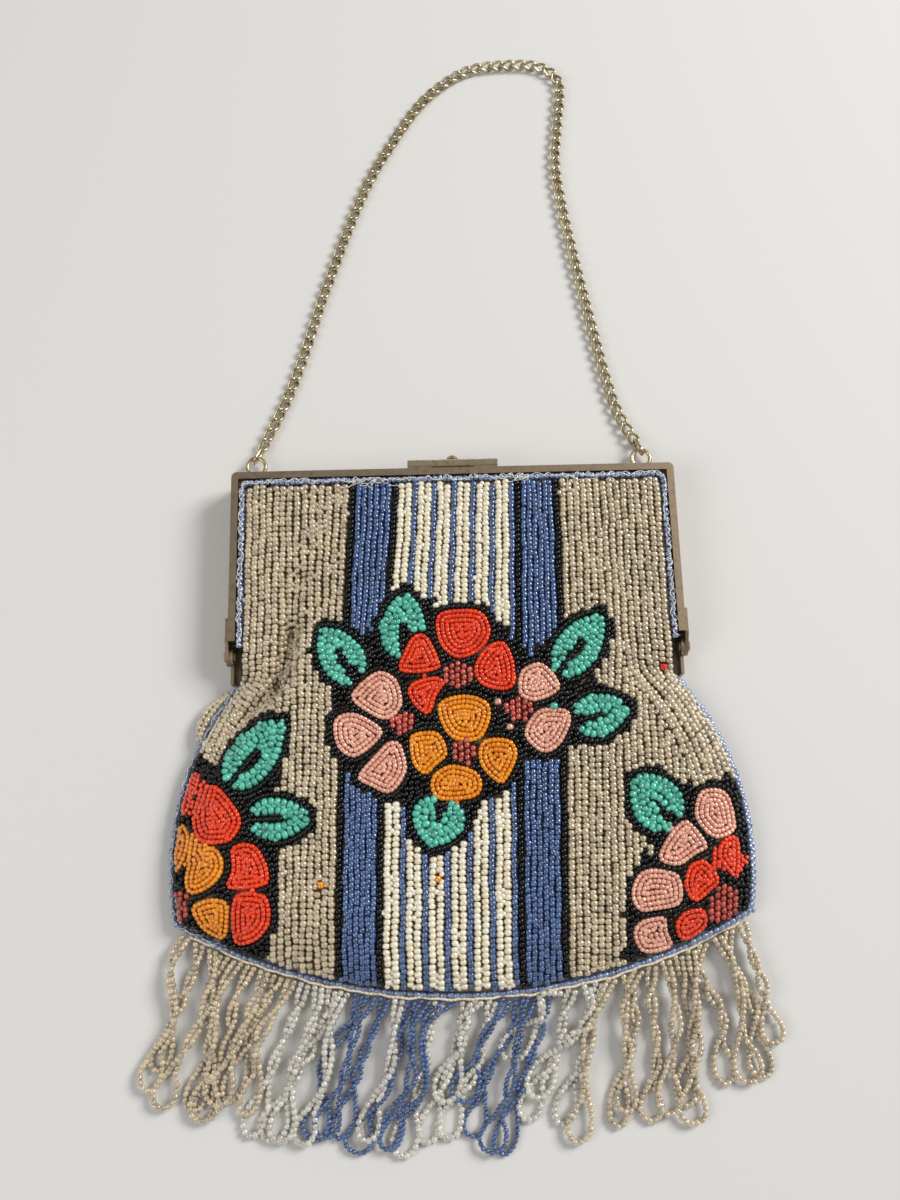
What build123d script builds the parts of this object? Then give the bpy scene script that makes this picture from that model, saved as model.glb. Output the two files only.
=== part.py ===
from build123d import *
from math import atan2, cos, degrees, pi, radians, sin, tan
import os

# Beaded purse with a hinged metal frame, a barrel clasp and a chain handle.
# It lies on its back on a table: +Z up, +Y from the hinge line towards the clasp, X across.
# The origin is the middle of the hinge line, projected onto the table. Millimetres.

# Purse frame: two U-shaped halves of rolled sheet, face to face when closed
frame_width = 114.4
frame_height = 47.7
closed_thickness = 10.0
halves_gap = 0.2
sheet = 0.8
lip_width = 1.8
lip_drop = 2.0
flange_reach = 5.0
corner_radius = 1.4
back_nesting = 0.1
front_arm_end = 3.0
back_arm_tail = 7.0

# Sewing holes in the flanges
sewing_hole_width = 1.2
sewing_hole_pitch = 8.0
sewing_hole_corners = 4

# Side hinges
lug_radius = 2.5
lug_reach = 9.0
rivet_radius = 0.9
rivet_head_radius = 1.7
rivet_head_height = 0.7
rivet_head_bevel = 0.5
running_clearance = 0.05

# Barrel clasp
barrel_radius = 1.25
barrel_clearance = 0.15
outer_barrel_length = 5.9
middle_barrel_length = 11.4
barrel_gap = 0.1
latch_pin_radius = 0.5
saddle_width = 1.7
latch_sheet = 0.7
latch_gap = 0.4
latch_width = 10.4
latch_foot_height = 1.3
latch_curl = 0.9
nub_radius = 0.9
nub_height = 0.35
nub_bevel = 0.25

# Knob on the latch
knob_height = 4.7
knob_stem_radius = 0.9
knob_disc_radius = 2.6
knob_disc_thickness = 0.6
knob_scallops = 8
knob_scallop_radius = 0.45
knob_button_radius = 1.7
knob_button_height = 1.9
knob_stand_off = 1.6

# Eyelets soldered on the top bar and the rings that carry the chain
eyelet_left_x = -52.0
eyelet_right_x = 50.3
eyelet_radius = 2.4
eyelet_wire = 1.0
eyelet_foot_width = 3.0
eyelet_foot_height = 1.8
eyelet_foot_depth = 1.6
ring_wire = 0.8
ring_bend_radius = 1.3
ring_straight = 2.2
ring_tilt = 18.0

# Curb chain
link_wire = 0.8
link_wires_wide = 4
link_play = 0.1
link_corners = 8
link_fullness = 0.7
wire_sides = 5
ring_corners = 12
chain_rest_height = 1.2

# Where the chain lies on the table, from the left ring to the right one
chain_route = [
    (-42.7, 75.7),
    (-33.0, 106.9),
    (-23.1, 134.9),
    (-14.3, 151.8),
    (-5.0, 165.5),
    (7.0, 174.6),
    (20.5, 176.6),
    (29.6, 175.2),
    (34.2, 169.5),
    (33.2, 157.0),
    (31.9, 143.0),
    (33.6, 125.8),
    (38.5, 96.9),
    (44.1, 69.1),
]

# Bag body
neck_inset = 2.1
body_width = 141.6
widest_below_hinge = 50.0
corner_below_hinge = 64.8
corner_half_width = 69.4
bottom_below_hinge = 82.6
body_corner_radius = 2.0
panel_thickness = 1.95
body_thickness = 10.3
front_wall = 2.3
pillow_slope = 40.0
rim_width = 1.6
fold_gap = 5.0
lining_thickness = 0.4
lining_gap = 0.05
upper_panel_start = 0.4
upper_panel_face = 10.1

# Bead edging
seam_edging_radius = 0.95
seam_height = 2.6
frame_edging_radius = 0.75
soft_gap = 0.1

# Looped bead fringe, lying on the table
fringe_left = (-75.5, -101.0)
fringe_middle = (0.0, -118.5)
fringe_right = (73.5, -96.5)
fringe_base = 0.2
fringe_thickness = 3.2

# Values worked out from the sizes above
hinge_height = closed_thickness / 2
half_width = frame_width / 2
half_depth = (closed_thickness - halves_gap) / 2
flange_face = closed_thickness - lip_drop
seam_inset = seam_edging_radius + lining_gap
barrel_axis_y = frame_height + barrel_radius + barrel_clearance
barrel_axis_height = closed_thickness - barrel_radius - barrel_clearance
eyelet_y = frame_height + eyelet_foot_depth + eyelet_radius + eyelet_wire / 2 - 0.3
eyelet_height = half_depth / 2
swing_y = eyelet_y + eyelet_radius
neck_width = frame_width - 2 * neck_inset
link_width = link_wires_wide * link_wire
link_pitch = link_width
link_half_length = (link_pitch + link_wire + link_play) / 2


def box_between(x, y, z):
    """A box from its lowest and highest value along each axis."""
    size = (x[1] - x[0], y[1] - y[0], z[1] - z[0])
    middle = ((x[0] + x[1]) / 2, (y[0] + y[1]) / 2, (z[0] + z[1]) / 2)
    return Pos(*middle) * Box(*size)


def slab(face, low, high):
    """A flat face in XY raised between two heights."""
    return extrude(Pos(0, 0, low) * face, high - low, dir=(0, 0, 1))


def rod(radius, x_low, x_high, y, z):
    """A round bar along X."""
    plane = Plane(origin=(x_low, y, z), x_dir=(0, 1, 0), z_dir=(1, 0, 0))
    return extrude(plane * Circle(radius), x_high - x_low)


def u_band(outer_inset, inner_inset, y_low, width, height):
    """The outline of the top bar and both arms, between two insets from the outer edge."""
    outer_half = width / 2 - outer_inset
    inner_half = width / 2 - inner_inset
    outer_top = height - outer_inset
    inner_top = height - inner_inset
    outer = Pos(0, (outer_top + y_low) / 2) * Rectangle(2 * outer_half, outer_top - y_low)
    inner = Pos(0, (inner_top + y_low) / 2) * Rectangle(2 * inner_half, inner_top - y_low)
    top_corners = outer.vertices().filter_by(lambda v: v.Y > outer_top - 0.01)
    rounded = fillet(top_corners, max(corner_radius - outer_inset, 0.4))
    return rounded - inner


def sewing_holes(width, height):
    """Small punched holes along the middle of the flange, on three sides."""
    inset = (lip_width + flange_reach) / 2
    across = width / 2 - inset
    top = height - inset
    hole = RegularPolygon(sewing_hole_width / 2, sewing_hole_corners)
    count_across = int(2 * (across - flange_reach) / sewing_hole_pitch) + 1
    count_down = int((top - flange_reach - front_arm_end) / sewing_hole_pitch)
    places = [((i - (count_across - 1) / 2) * sewing_hole_pitch, top) for i in range(count_across)]
    for side in (-1, 1):
        places += [(side * across, top - flange_reach - i * sewing_hole_pitch) for i in range(count_down)]
    return Sketch() + [Pos(*place) * hole for place in places]


def rolled_half(width, height, arm_end):
    """One half of the frame, wall down and lip up, with its outer face at closed_thickness.

    The wall and lip run down to arm_end, and the step and sewing flange end above the hinge.
    """
    wall_low = closed_thickness - half_depth
    step = lip_width - sheet
    wall = slab(u_band(0, sheet, arm_end, width, height), wall_low, closed_thickness)
    lip = slab(u_band(0, lip_width, arm_end, width, height), closed_thickness - sheet, closed_thickness)
    drop_outline = u_band(step, lip_width, front_arm_end, width, height)
    drop = slab(drop_outline, flange_face - sheet, closed_thickness)
    flange_outline = u_band(step, flange_reach, front_arm_end, width, height) - sewing_holes(width, height)
    flange = slab(flange_outline, flange_face - sheet, flange_face)
    return wall + lip + drop + flange


def side_plate(x_low, x_high, sketch_edges):
    """A plate across X whose outline in Y and Z is the hull round some edges."""
    plane = Plane(origin=(x_low, 0, 0), x_dir=(0, 1, 0), z_dir=(1, 0, 0))
    return extrude(plane * make_hull(sketch_edges), x_high - x_low)


def outline_box(y_low, y_high, z_low, z_high):
    middle = ((y_low + y_high) / 2, (z_low + z_high) / 2)
    return (Pos(*middle) * Rectangle(y_high - y_low, z_high - z_low)).edges()


def hinge_circle(radius):
    return (Pos(0, hinge_height) * Circle(radius)).edges()


def both_sides(part):
    return part + mirror(part, Plane.YZ)


def make_front_frame_half():
    half = rolled_half(frame_width, frame_height, front_arm_end)
    arm = outline_box(front_arm_end, lug_reach, closed_thickness - half_depth, closed_thickness - sheet)
    lug = side_plate(half_width, half_width + sheet, hinge_circle(lug_radius) + arm)
    lug -= rod(rivet_radius + running_clearance, half_width - 1, half_width + 2 * sheet, 0, hinge_height)
    return half + both_sides(lug)


def make_back_frame_half():
    width = frame_width - 2 * back_nesting
    half = rolled_half(width, frame_height - back_nesting, -back_arm_tail)
    half = mirror(half, Plane.XY.offset(hinge_height))
    outside = half_width - back_nesting
    arm = outline_box(-lug_radius, lug_radius, sheet, half_depth)
    lug = side_plate(outside - sheet, outside, hinge_circle(lug_radius) + arm)
    bore = rod(rivet_radius, outside - 2 * sheet, outside + 1, 0, hinge_height)
    return half + both_sides(lug) - bore - mirror(bore, Plane.YZ)


def make_rivet(side):
    """A shank through both lugs, with a domed head outside and a flat one inside."""
    head_low = half_width + sheet + running_clearance
    inner_face = half_width - back_nesting - sheet
    shank = rod(rivet_radius, inner_face - 0.1, head_low + 0.1, 0, hinge_height)
    inner_head = rod(rivet_head_radius - 0.2, inner_face - 0.5, inner_face, 0, hinge_height)
    outer_head = rod(rivet_head_radius, head_low, head_low + rivet_head_height, 0, hinge_height)
    rim = outer_head.edges().filter_by(GeomType.CIRCLE).sort_by(Axis.X)[-1]
    outer_head = chamfer(rim, rivet_head_bevel)
    rivet = shank + inner_head + outer_head
    return rivet if side > 0 else mirror(rivet, Plane.YZ)


def make_outer_barrel(side):
    """A knuckle of tube soldered to the front half's top bar by its saddle."""
    inner_end = middle_barrel_length / 2 + barrel_gap
    outer_end = inner_end + outer_barrel_length
    tube = rod(barrel_radius, inner_end, outer_end, barrel_axis_y, barrel_axis_height)
    saddle_z = (barrel_axis_height - saddle_width / 2, barrel_axis_height + saddle_width / 2)
    saddle = box_between((inner_end, outer_end), (frame_height, barrel_axis_y), saddle_z)
    bore = rod(latch_pin_radius, inner_end - 1, outer_end + 1, barrel_axis_y, barrel_axis_height)
    knuckle = tube + saddle - bore
    return knuckle if side > 0 else mirror(knuckle, Plane.YZ)


def make_latch_pin():
    reach = middle_barrel_length / 2 + barrel_gap + outer_barrel_length
    return rod(latch_pin_radius, -reach, reach, barrel_axis_y, barrel_axis_height)


def make_latch_plate():
    """The middle knuckle and the tongue that hangs from it over the edges of both halves."""
    half_barrel = middle_barrel_length / 2
    tube = rod(barrel_radius, -half_barrel, half_barrel, barrel_axis_y, barrel_axis_height)
    inside = frame_height + latch_gap
    outside = inside + latch_sheet
    neck_z = barrel_axis_height - barrel_radius
    foot = latch_foot_height
    outline = Polyline(
        (barrel_axis_y - latch_sheet, barrel_axis_height - 0.4),
        (inside, neck_z - 0.6),
        (inside, foot + latch_curl),
        (inside + latch_curl, foot),
        (outside + latch_curl, foot),
        (outside + latch_curl, foot + 0.3),
        (outside, foot + latch_curl + 0.3),
        (outside, neck_z - 0.6),
        (barrel_axis_y + latch_sheet, barrel_axis_height - 0.4),
        close=True,
    )
    plane = Plane(origin=(-latch_width / 2, 0, 0), x_dir=(0, 1, 0), z_dir=(1, 0, 0))
    tongue = extrude(plane * make_face(outline), latch_width)
    corners = tongue.edges().filter_by(Axis.Y).group_by(Axis.Z)[0]
    tongue = chamfer(corners, latch_curl * 0.3) if corners else tongue
    bore = rod(latch_pin_radius + running_clearance, -half_barrel - 1, half_barrel + 1,
               barrel_axis_y, barrel_axis_height)
    return tube + tongue - bore


def make_latch_knob():
    """Stem, pierced disc and ball in one casting, standing out from the latch tongue."""
    start = frame_height + latch_gap + latch_sheet
    disc_high = start + knob_stand_off + knob_disc_thickness
    plane = Plane(origin=(0, start, knob_height), x_dir=(1, 0, 0), z_dir=(0, 1, 0))
    stem = extrude(plane * Circle(knob_stem_radius), knob_stand_off + knob_disc_thickness)
    disc = extrude(plane.offset(knob_stand_off) * Circle(knob_disc_radius), knob_disc_thickness)
    scallops = Sketch() + PolarLocations(knob_disc_radius, knob_scallops) * Circle(knob_scallop_radius)
    disc -= extrude(plane.offset(knob_stand_off - 1) * scallops, knob_disc_thickness + 2)
    wide = knob_button_radius
    tall = knob_button_height
    profile = Polyline((0, 0), (wide * 0.7, 0), (wide, tall * 0.4), (wide * 0.75, tall * 0.8),
                       (wide * 0.3, tall), (0, tall), close=True)
    seat = Plane(origin=(0, disc_high, knob_height), x_dir=(1, 0, 0), z_dir=(0, 0, 1))
    button = revolve(seat * make_face(profile), Axis((0, disc_high, knob_height), (0, 1, 0)))
    return stem + disc + button


def make_catch_nub():
    """A low domed button on the back half's top wall, under the tongue."""
    wall = frame_height - back_nesting
    plane = Plane(origin=(0, wall, half_depth / 2), x_dir=(1, 0, 0), z_dir=(0, 1, 0))
    nub = extrude(plane * Circle(nub_radius), nub_height)
    rim = nub.edges().filter_by(GeomType.CIRCLE).sort_by(Axis.Y)[-1]
    return chamfer(rim, nub_bevel)


def on_circle(radius, i):
    """A corner of a wire ring's centre line; its straight runs touch the true circle."""
    angle = (i + 0.5) * 2 * pi / ring_corners
    reach = radius / cos(pi / ring_corners)
    return Vector(reach * cos(angle), reach * sin(angle), 0)


def make_eyelet(x):
    """A flat wire ring with a foot soldered to the back half's top wall."""
    corners = [Vector(x, eyelet_y, eyelet_height) + on_circle(eyelet_radius, i) for i in range(ring_corners)]
    ring = bent_wire(corners, eyelet_wire)
    foot_low = frame_height - back_nesting
    foot = box_between((x - eyelet_foot_width / 2, x + eyelet_foot_width / 2),
                       (foot_low, foot_low + eyelet_foot_depth),
                       (eyelet_height - eyelet_foot_height / 2, eyelet_height + eyelet_foot_height / 2))
    return ring + foot


def ring_frame(x, towards):
    """Where a connector ring sits: its near bend goes round the eyelet's far wire."""
    hub = Vector(x, swing_y, eyelet_height)
    heading = Vector(towards[0] - x, towards[1] - swing_y, 0).normalized()
    along = heading * cos(radians(ring_tilt)) - Vector(0, 0, sin(radians(ring_tilt)))
    across = heading.cross(Vector(0, 0, 1))
    return Plane(origin=hub, x_dir=along, z_dir=across)


def make_connector_ring(x, towards):
    """A long oval of wire standing on edge, one bend in the eyelet and one in the chain."""
    corners = []
    for i in range(ring_corners):
        corner = on_circle(ring_bend_radius, i)
        corners.append(corner + Vector(ring_straight if corner.X > 0 else 0, 0, 0))
    return ring_frame(x, towards).location * bent_wire(corners, ring_wire)


def link_point(angle, twist):
    """A point on the wire's centre line: an oval, twisted about the chain's direction."""
    flat_end = cos(pi / link_corners) ** link_fullness
    reach = link_half_length / flat_end
    half = (link_width - link_wire) / 2

    def rounded(value):
        return abs(value) ** link_fullness * (1 if value > 0 else -1)

    x = reach * rounded(cos(angle))
    y = half * rounded(sin(angle))
    turn = twist * x / reach
    return Vector(x, y * cos(turn), y * sin(turn))


def link_corner_points(twist):
    return [link_point((i + 0.5) * 2 * pi / link_corners, twist) for i in range(link_corners)]


def carried_round(corners):
    """The runs between corners, and a side vector carried from run to run, round the loop."""
    count = len(corners)
    runs = [(corners[(i + 1) % count] - corners[i]).normalized() for i in range(count)]
    level = Vector(0, 0, 1) if abs(runs[0].Z) < 0.9 else Vector(1, 0, 0)
    first = runs[0].cross(level).normalized()
    sides = [first]
    for i in range(count):
        this, following = runs[i], runs[(i + 1) % count]
        axis = this.cross(following)
        turn = degrees(atan2(axis.length, this.dot(following)))
        sides.append(sides[-1].rotate(Axis((0, 0, 0), tuple(axis)), turn))
    gained = atan2(first.cross(sides[-1]).dot(runs[0]), first.dot(sides[-1]))
    return runs, sides, gained


def closing_twist():
    """The twist at which the wire's flats meet themselves again after one turn of the link."""
    wanted = 2 * pi / wire_sides
    low, high = radians(5), radians(89)
    for _ in range(60):
        middle = (low + high) / 2
        if abs(carried_round(link_corner_points(middle))[2]) < wanted:
            low = middle
        else:
            high = middle
    return middle


def bent_wire(corners, wire):
    """A closed loop of flat-sided wire, mitred at each corner."""
    runs, sides, gained = carried_round(corners)
    count = len(corners)
    shift = round(gained / (2 * pi / wire_sides))
    stations = []
    for i in range(count):
        before, after = runs[i - 1], runs[i]
        mitre = (before + after).normalized()
        second = after.cross(sides[i])
        ring = []
        for k in range(wire_sides):
            angle = 2 * pi * k / wire_sides
            offset_here = (sides[i] * cos(angle) + second * sin(angle)) * (wire / 2)
            slide = offset_here.dot(mitre) / after.dot(mitre)
            ring.append(corners[i] + offset_here - after * slide)
        stations.append(ring)
    faces = []
    for i in range(count):
        here = stations[i]
        there = stations[(i + 1) % count]
        if i == count - 1:
            there = [there[(k + shift) % wire_sides] for k in range(wire_sides)]
        for k in range(wire_sides):
            beside = (k + 1) % wire_sides
            faces.append(Face(Wire.make_polygon([here[k], here[beside], there[beside], there[k]])))
    return Solid(Shell(faces))


def chain_curve():
    """The chain's line, from the far bend of one connector ring to the other's."""
    left = ring_frame(eyelet_left_x, chain_route[0])
    right = ring_frame(eyelet_right_x, chain_route[-1])
    start = left.origin + left.x_dir * ring_straight
    end = right.origin + right.x_dir * ring_straight
    middle = [Vector(x, y, chain_rest_height) for x, y in chain_route]
    return Spline([start] + middle + [end])


def make_chain():
    """Separate links at one pitch along the line, each turned to follow it."""
    line = chain_curve()
    link = bent_wire(link_corner_points(closing_twist()), link_wire)
    first = link_half_length
    span = line.length - 2 * link_half_length
    gaps = round(span / link_pitch)
    links = []
    for i in range(gaps + 1):
        at = first + span * i / gaps
        place = line.position_at(at, position_mode=PositionMode.LENGTH)
        ahead = line.tangent_at(at, position_mode=PositionMode.LENGTH)
        upright = Vector(0, 0, 1) - ahead * ahead.Z
        frame = Plane(origin=place, x_dir=ahead, z_dir=upright)
        links.append(link.moved(frame.location))
    return Compound(children=links)


def body_side(side):
    """The side seam, from the frame's tail to the lower corner."""
    neck = (side * neck_width / 2, -back_arm_tail)
    widest = (side * body_width / 2, -widest_below_hinge)
    corner = (side * corner_half_width, -corner_below_hinge)
    return neck, widest, corner


def side_arc(side):
    neck, widest, corner = body_side(side)
    return TangentArc(widest, neck, tangent=(0, 1)), TangentArc(widest, corner, tangent=(0, -1))


def bottom_arc():
    return ThreePointArc((-corner_half_width, -corner_below_hinge), (0, -bottom_below_hinge),
                         (corner_half_width, -corner_below_hinge))


def body_outline():
    """The bag's flat outline at the seam, with its neck carried up to the hinge line."""
    half_neck = neck_width / 2
    neck_top = 2 * fold_gap
    left_up, left_down = side_arc(-1)
    right_up, right_down = side_arc(1)
    top = Polyline((-half_neck, -back_arm_tail), (-half_neck, neck_top),
                   (half_neck, neck_top), (half_neck, -back_arm_tail))
    face = make_face(left_up + left_down + bottom_arc() + right_down + right_up + top)
    corners = face.vertices().filter_by(lambda v: abs(v.Y + corner_below_hinge) < 0.01)
    return fillet(corners, body_corner_radius)


def pillow(inset, low, high):
    """The bag's swelling front, drawn in by the slope as it rises from the seam."""
    base = Pos(0, 0, low) * offset(body_outline(), amount=-inset)
    return extrude(base, high - low, dir=(0, 0, 1), taper=pillow_slope)


def below_fold(part):
    """What is left of a lower front piece below the fold at the hinge line."""
    return part & box_between((-200, 200), (-200, -fold_gap), (-50, 50))


def make_back_panel():
    inset_half = half_width - back_nesting - lip_width - soft_gap
    top = frame_height - back_nesting - lip_width - soft_gap - 2 * frame_edging_radius
    neck_half = inset_half - 2 * frame_edging_radius - lining_gap
    neck = Pos(0, (top - back_arm_tail) / 2) * Rectangle(2 * neck_half, top + back_arm_tail)
    body = offset(body_outline(), amount=-seam_inset) & Pos(0, -100 - back_arm_tail / 2) * Rectangle(300, 200)
    return slab(neck + body, 0, panel_thickness)


def make_lining_back():
    neck_half = half_width - back_nesting - flange_reach - soft_gap
    top = frame_height - back_nesting - flange_reach - soft_gap
    low = -back_arm_tail - soft_gap
    neck = Pos(0, (top + low) / 2) * Rectangle(2 * neck_half, top - low)
    rim_lean = lining_thickness * tan(radians(pillow_slope))
    body = offset(body_outline(), amount=-(seam_inset + rim_width + rim_lean + lining_gap))
    body = body & Pos(0, low - 100) * Rectangle(300, 200)
    return slab(neck + body, panel_thickness, panel_thickness + lining_thickness)


def make_front_panel_lower():
    shell = pillow(seam_inset, panel_thickness, body_thickness)
    hollow_top = body_thickness - front_wall
    hollow = pillow(seam_inset + rim_width, panel_thickness, hollow_top)
    return below_fold(shell - hollow)


def make_lining_front_lower():
    low = panel_thickness + lining_thickness
    high = body_thickness - front_wall
    drawn_in = (low - panel_thickness) * tan(radians(pillow_slope))
    outside = seam_inset + rim_width + drawn_in + lining_gap
    cloth = pillow(outside, low, high)
    hollow = pillow(outside + lining_thickness, low, high - lining_thickness)
    return below_fold(cloth - hollow)


def make_front_panel_upper():
    edge = lip_width + soft_gap + 2 * frame_edging_radius + soft_gap
    half = half_width - edge
    top = frame_height - edge
    face = Pos(0, (top + upper_panel_start) / 2) * Rectangle(2 * half, top - upper_panel_start)
    return slab(face, flange_face, upper_panel_face)


def make_lining_front_upper():
    half = half_width - flange_reach - soft_gap
    top = frame_height - flange_reach - soft_gap
    face = Pos(0, (top + upper_panel_start) / 2) * Rectangle(2 * half, top - upper_panel_start)
    return slab(face, flange_face - lining_thickness, flange_face)


def make_seam_edging():
    """One row of beads over the seam, from hinge to hinge round the bottom."""
    seam = body_outline().edges().filter_by(lambda e: e.center().Y < -back_arm_tail)
    path = Pos(0, 0, seam_height) * Wire(seam)
    across = 2 * seam_edging_radius
    section = Plane(origin=path @ 0, x_dir=(0, 0, 1), z_dir=path % 0) * Rectangle(across, across)
    below_tail = box_between((-200, 200), (-200, -back_arm_tail - soft_gap), (-50, 50))
    return sweep(section, path=path) & below_tail


def make_frame_edging(width, height, low_end, centre_z):
    """A row of beads that hides the sewing, round three sides of the frame's window."""
    inset = lip_width + soft_gap + frame_edging_radius
    half = width / 2 - inset
    top = height - inset
    path = FilletPolyline((-half, low_end, centre_z), (-half, top, centre_z),
                          (half, top, centre_z), (half, low_end, centre_z), radius=1.0)
    start = Plane(origin=(-half, low_end, centre_z), x_dir=(0, 0, 1), z_dir=(0, 1, 0))
    section = start * Rectangle(2 * frame_edging_radius, 2 * frame_edging_radius)
    return sweep(section, path=path)


def make_fringe():
    """The space of the looped strands, from just under the seam to the loops' ends."""
    clear = seam_edging_radius + soft_gap
    seam = offset(body_outline(), amount=clear)
    corner_left = (-corner_half_width - 1.0, -corner_below_hinge + 3.0)
    corner_right = (corner_half_width + 1.0, -corner_below_hinge + 3.0)
    outline = Line(corner_right, corner_left)
    outline += Line(corner_left, fringe_left)
    outline += ThreePointArc(fringe_left, fringe_middle, fringe_right)
    outline += Line(fringe_right, corner_right)
    face = make_face(outline) - seam
    largest = face.faces().sort_by(SortBy.AREA)[-1]
    return slab(largest, fringe_base, fringe_base + fringe_thickness)


back_width = frame_width - 2 * back_nesting
back_height = frame_height - back_nesting
parts = {
    "back_frame_half": make_back_frame_half(),
    "front_frame_half": make_front_frame_half(),
    "hinge_rivet_left": make_rivet(-1),
    "hinge_rivet_right": make_rivet(1),
    "clasp_barrel_left": make_outer_barrel(-1),
    "clasp_barrel_right": make_outer_barrel(1),
    "latch_pin": make_latch_pin(),
    "latch_plate": make_latch_plate(),
    "latch_knob": make_latch_knob(),
    "catch_nub": make_catch_nub(),
    "eyelet_left": make_eyelet(eyelet_left_x),
    "eyelet_right": make_eyelet(eyelet_right_x),
    "connector_ring_left": make_connector_ring(eyelet_left_x, chain_route[0]),
    "connector_ring_right": make_connector_ring(eyelet_right_x, chain_route[-1]),
    "chain_links": make_chain(),
    "back_panel": make_back_panel(),
    "front_panel_upper": make_front_panel_upper(),
    "front_panel_lower": make_front_panel_lower(),
    "lining_back": make_lining_back(),
    "lining_front_upper": make_lining_front_upper(),
    "lining_front_lower": make_lining_front_lower(),
    "seam_edging": make_seam_edging(),
    "frame_edging_front": make_frame_edging(frame_width, frame_height, 1.0,
                                            flange_face + frame_edging_radius),
    "frame_edging_back": make_frame_edging(back_width, back_height, 1.0,
                                           frame_edging_radius),
    "fringe": make_fringe(),
}

os.makedirs("parts", exist_ok=True)
for name, part in parts.items():
    export_step(part, f"parts/{name}.step")
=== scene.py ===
import math

import bpy
import numpy as np
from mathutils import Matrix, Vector, kdtree


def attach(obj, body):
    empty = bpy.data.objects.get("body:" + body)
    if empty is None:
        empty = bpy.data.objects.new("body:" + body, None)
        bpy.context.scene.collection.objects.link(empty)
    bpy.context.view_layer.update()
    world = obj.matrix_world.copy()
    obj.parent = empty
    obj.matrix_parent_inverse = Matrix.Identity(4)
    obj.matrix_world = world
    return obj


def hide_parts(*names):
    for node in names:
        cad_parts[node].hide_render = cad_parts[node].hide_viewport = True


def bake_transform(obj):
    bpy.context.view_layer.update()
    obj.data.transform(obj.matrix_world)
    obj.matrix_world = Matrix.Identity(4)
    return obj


# Beaded purse on a plain pale floor. Lengths are in millimetres until a mesh is made.
MM = 0.001
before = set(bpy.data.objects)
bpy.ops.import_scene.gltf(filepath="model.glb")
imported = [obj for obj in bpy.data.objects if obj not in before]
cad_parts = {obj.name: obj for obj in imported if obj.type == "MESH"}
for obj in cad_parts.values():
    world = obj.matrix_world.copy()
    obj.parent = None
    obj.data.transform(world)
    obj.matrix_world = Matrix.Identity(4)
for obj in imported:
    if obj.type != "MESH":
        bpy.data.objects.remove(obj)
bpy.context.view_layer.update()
random = np.random.default_rng(7)

# Camera, as the photograph was taken: 900 by 1200 pixels, looking down and a little forward
PHOTO_WIDTH = 900
PHOTO_HEIGHT = 1200
CAMERA_TILT = math.radians(14.5)
CAMERA_TURN = math.radians(-1.4)
CAMERA_DISTANCE = 294.0
CAMERA_LOOKS_AT = np.array([-1.5, 13.5, 5.0])
FOCAL_PIXELS = 1150.0
SENSOR = 36.0

# Sizes of the beads: width across the thread and length along it
ROW_PITCH = 1.72
SMALL_BEAD = 1.94
SMALL_LENGTH = 1.36
BLUE_BEAD = 1.6
BLUE_LENGTH = 1.2
WHITE_BEAD = 2.04
PETAL_BEAD = 1.3
PETAL_LENGTH = 1.04
PETAL_ROW = 1.2
LEAF_BEAD = 2.3
LEAF_LENGTH = 1.5
LEAF_ROW = 2.05
HEART_BEAD = 1.5
OUTLINE_BEAD = 1.62
OUTLINE_LENGTH = 1.3
MOST_BEADS = 20000

# Bag outline below the hinge line, as in the model of its panels
NECK_HALF = 55.1
NECK_Y = -7.0
WIDEST_HALF = 70.8
WIDEST_Y = -50.0
CORNER_HALF = 69.4
CORNER_Y = -64.8
BOTTOM_Y = -82.6
SEAM_HEIGHT = 2.6

# Window of the frame, inside its edging beads
WINDOW_HALF = 53.4
WINDOW_TOP = 43.8

# How high the front lies
FRONT_AT_FRAME = 8.95
FRONT_AT_WAIST = 9.5
FRONT_AT_BOTTOM = 7.0
EDGE_SLOPE_WIDTH = 15.0
BACK_BEAD_HEIGHT = 0.95
CLOTH_BELOW_BEADS = 0.95
CLOTH_THICKNESS = 0.3
LINING_BELOW_CLOTH = 0.8
FRONT_SEAM_MARGIN = 1.4
BACK_SEAM_MARGIN = 0.7

# Where one shape passes into another as y falls: the top of the change and its length
WINDOW_INTO_PILLOW = (6.0, 22.0)
WINDOW_INTO_SIDE = (4.0, 16.0)
FLAT_BELOW_WINDOW_TOP = 14.0
RISE_BELOW_WINDOW_TOP = 12.0


def camera_axes():
    """Right, up and forward of the camera."""
    tilt, turn = CAMERA_TILT, CAMERA_TURN
    turned = np.array([[math.cos(turn), -math.sin(turn), 0], [math.sin(turn), math.cos(turn), 0], [0, 0, 1]])
    right = turned @ np.array([1.0, 0, 0])
    up = turned @ np.array([0, math.cos(tilt), math.sin(tilt)])
    forward = turned @ np.array([0, math.sin(tilt), -math.cos(tilt)])
    return right, up, forward


RIGHT, UP, FORWARD = camera_axes()
CAMERA_PLACE = CAMERA_LOOKS_AT - CAMERA_DISTANCE * FORWARD


def from_photo(pixel, height):
    """The place at a height where the camera sees a pixel of the photograph."""
    across = (pixel[0] - PHOTO_WIDTH / 2) / FOCAL_PIXELS
    down = (pixel[1] - PHOTO_HEIGHT / 2) / FOCAL_PIXELS
    ray = FORWARD + across * RIGHT - down * UP
    along = (height - CAMERA_PLACE[2]) / ray[2]
    return (CAMERA_PLACE + ray * along)[:2]


# The outline and height of the bag


def changed(y, change):
    """How much of a change is done at a y, from 0 to 1."""
    top, length = change
    return np.clip((top - y) / length, 0, 1)


def distance_to(x, y, start, end):
    """How far places are from the straight line between two points."""
    run = end - start
    share = np.clip(((x - start[0]) * run[0] + (y - start[1]) * run[1]) / (run @ run), 0, 1)
    return np.hypot(x - start[0] - share * run[0], y - start[1] - share * run[1])


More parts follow.
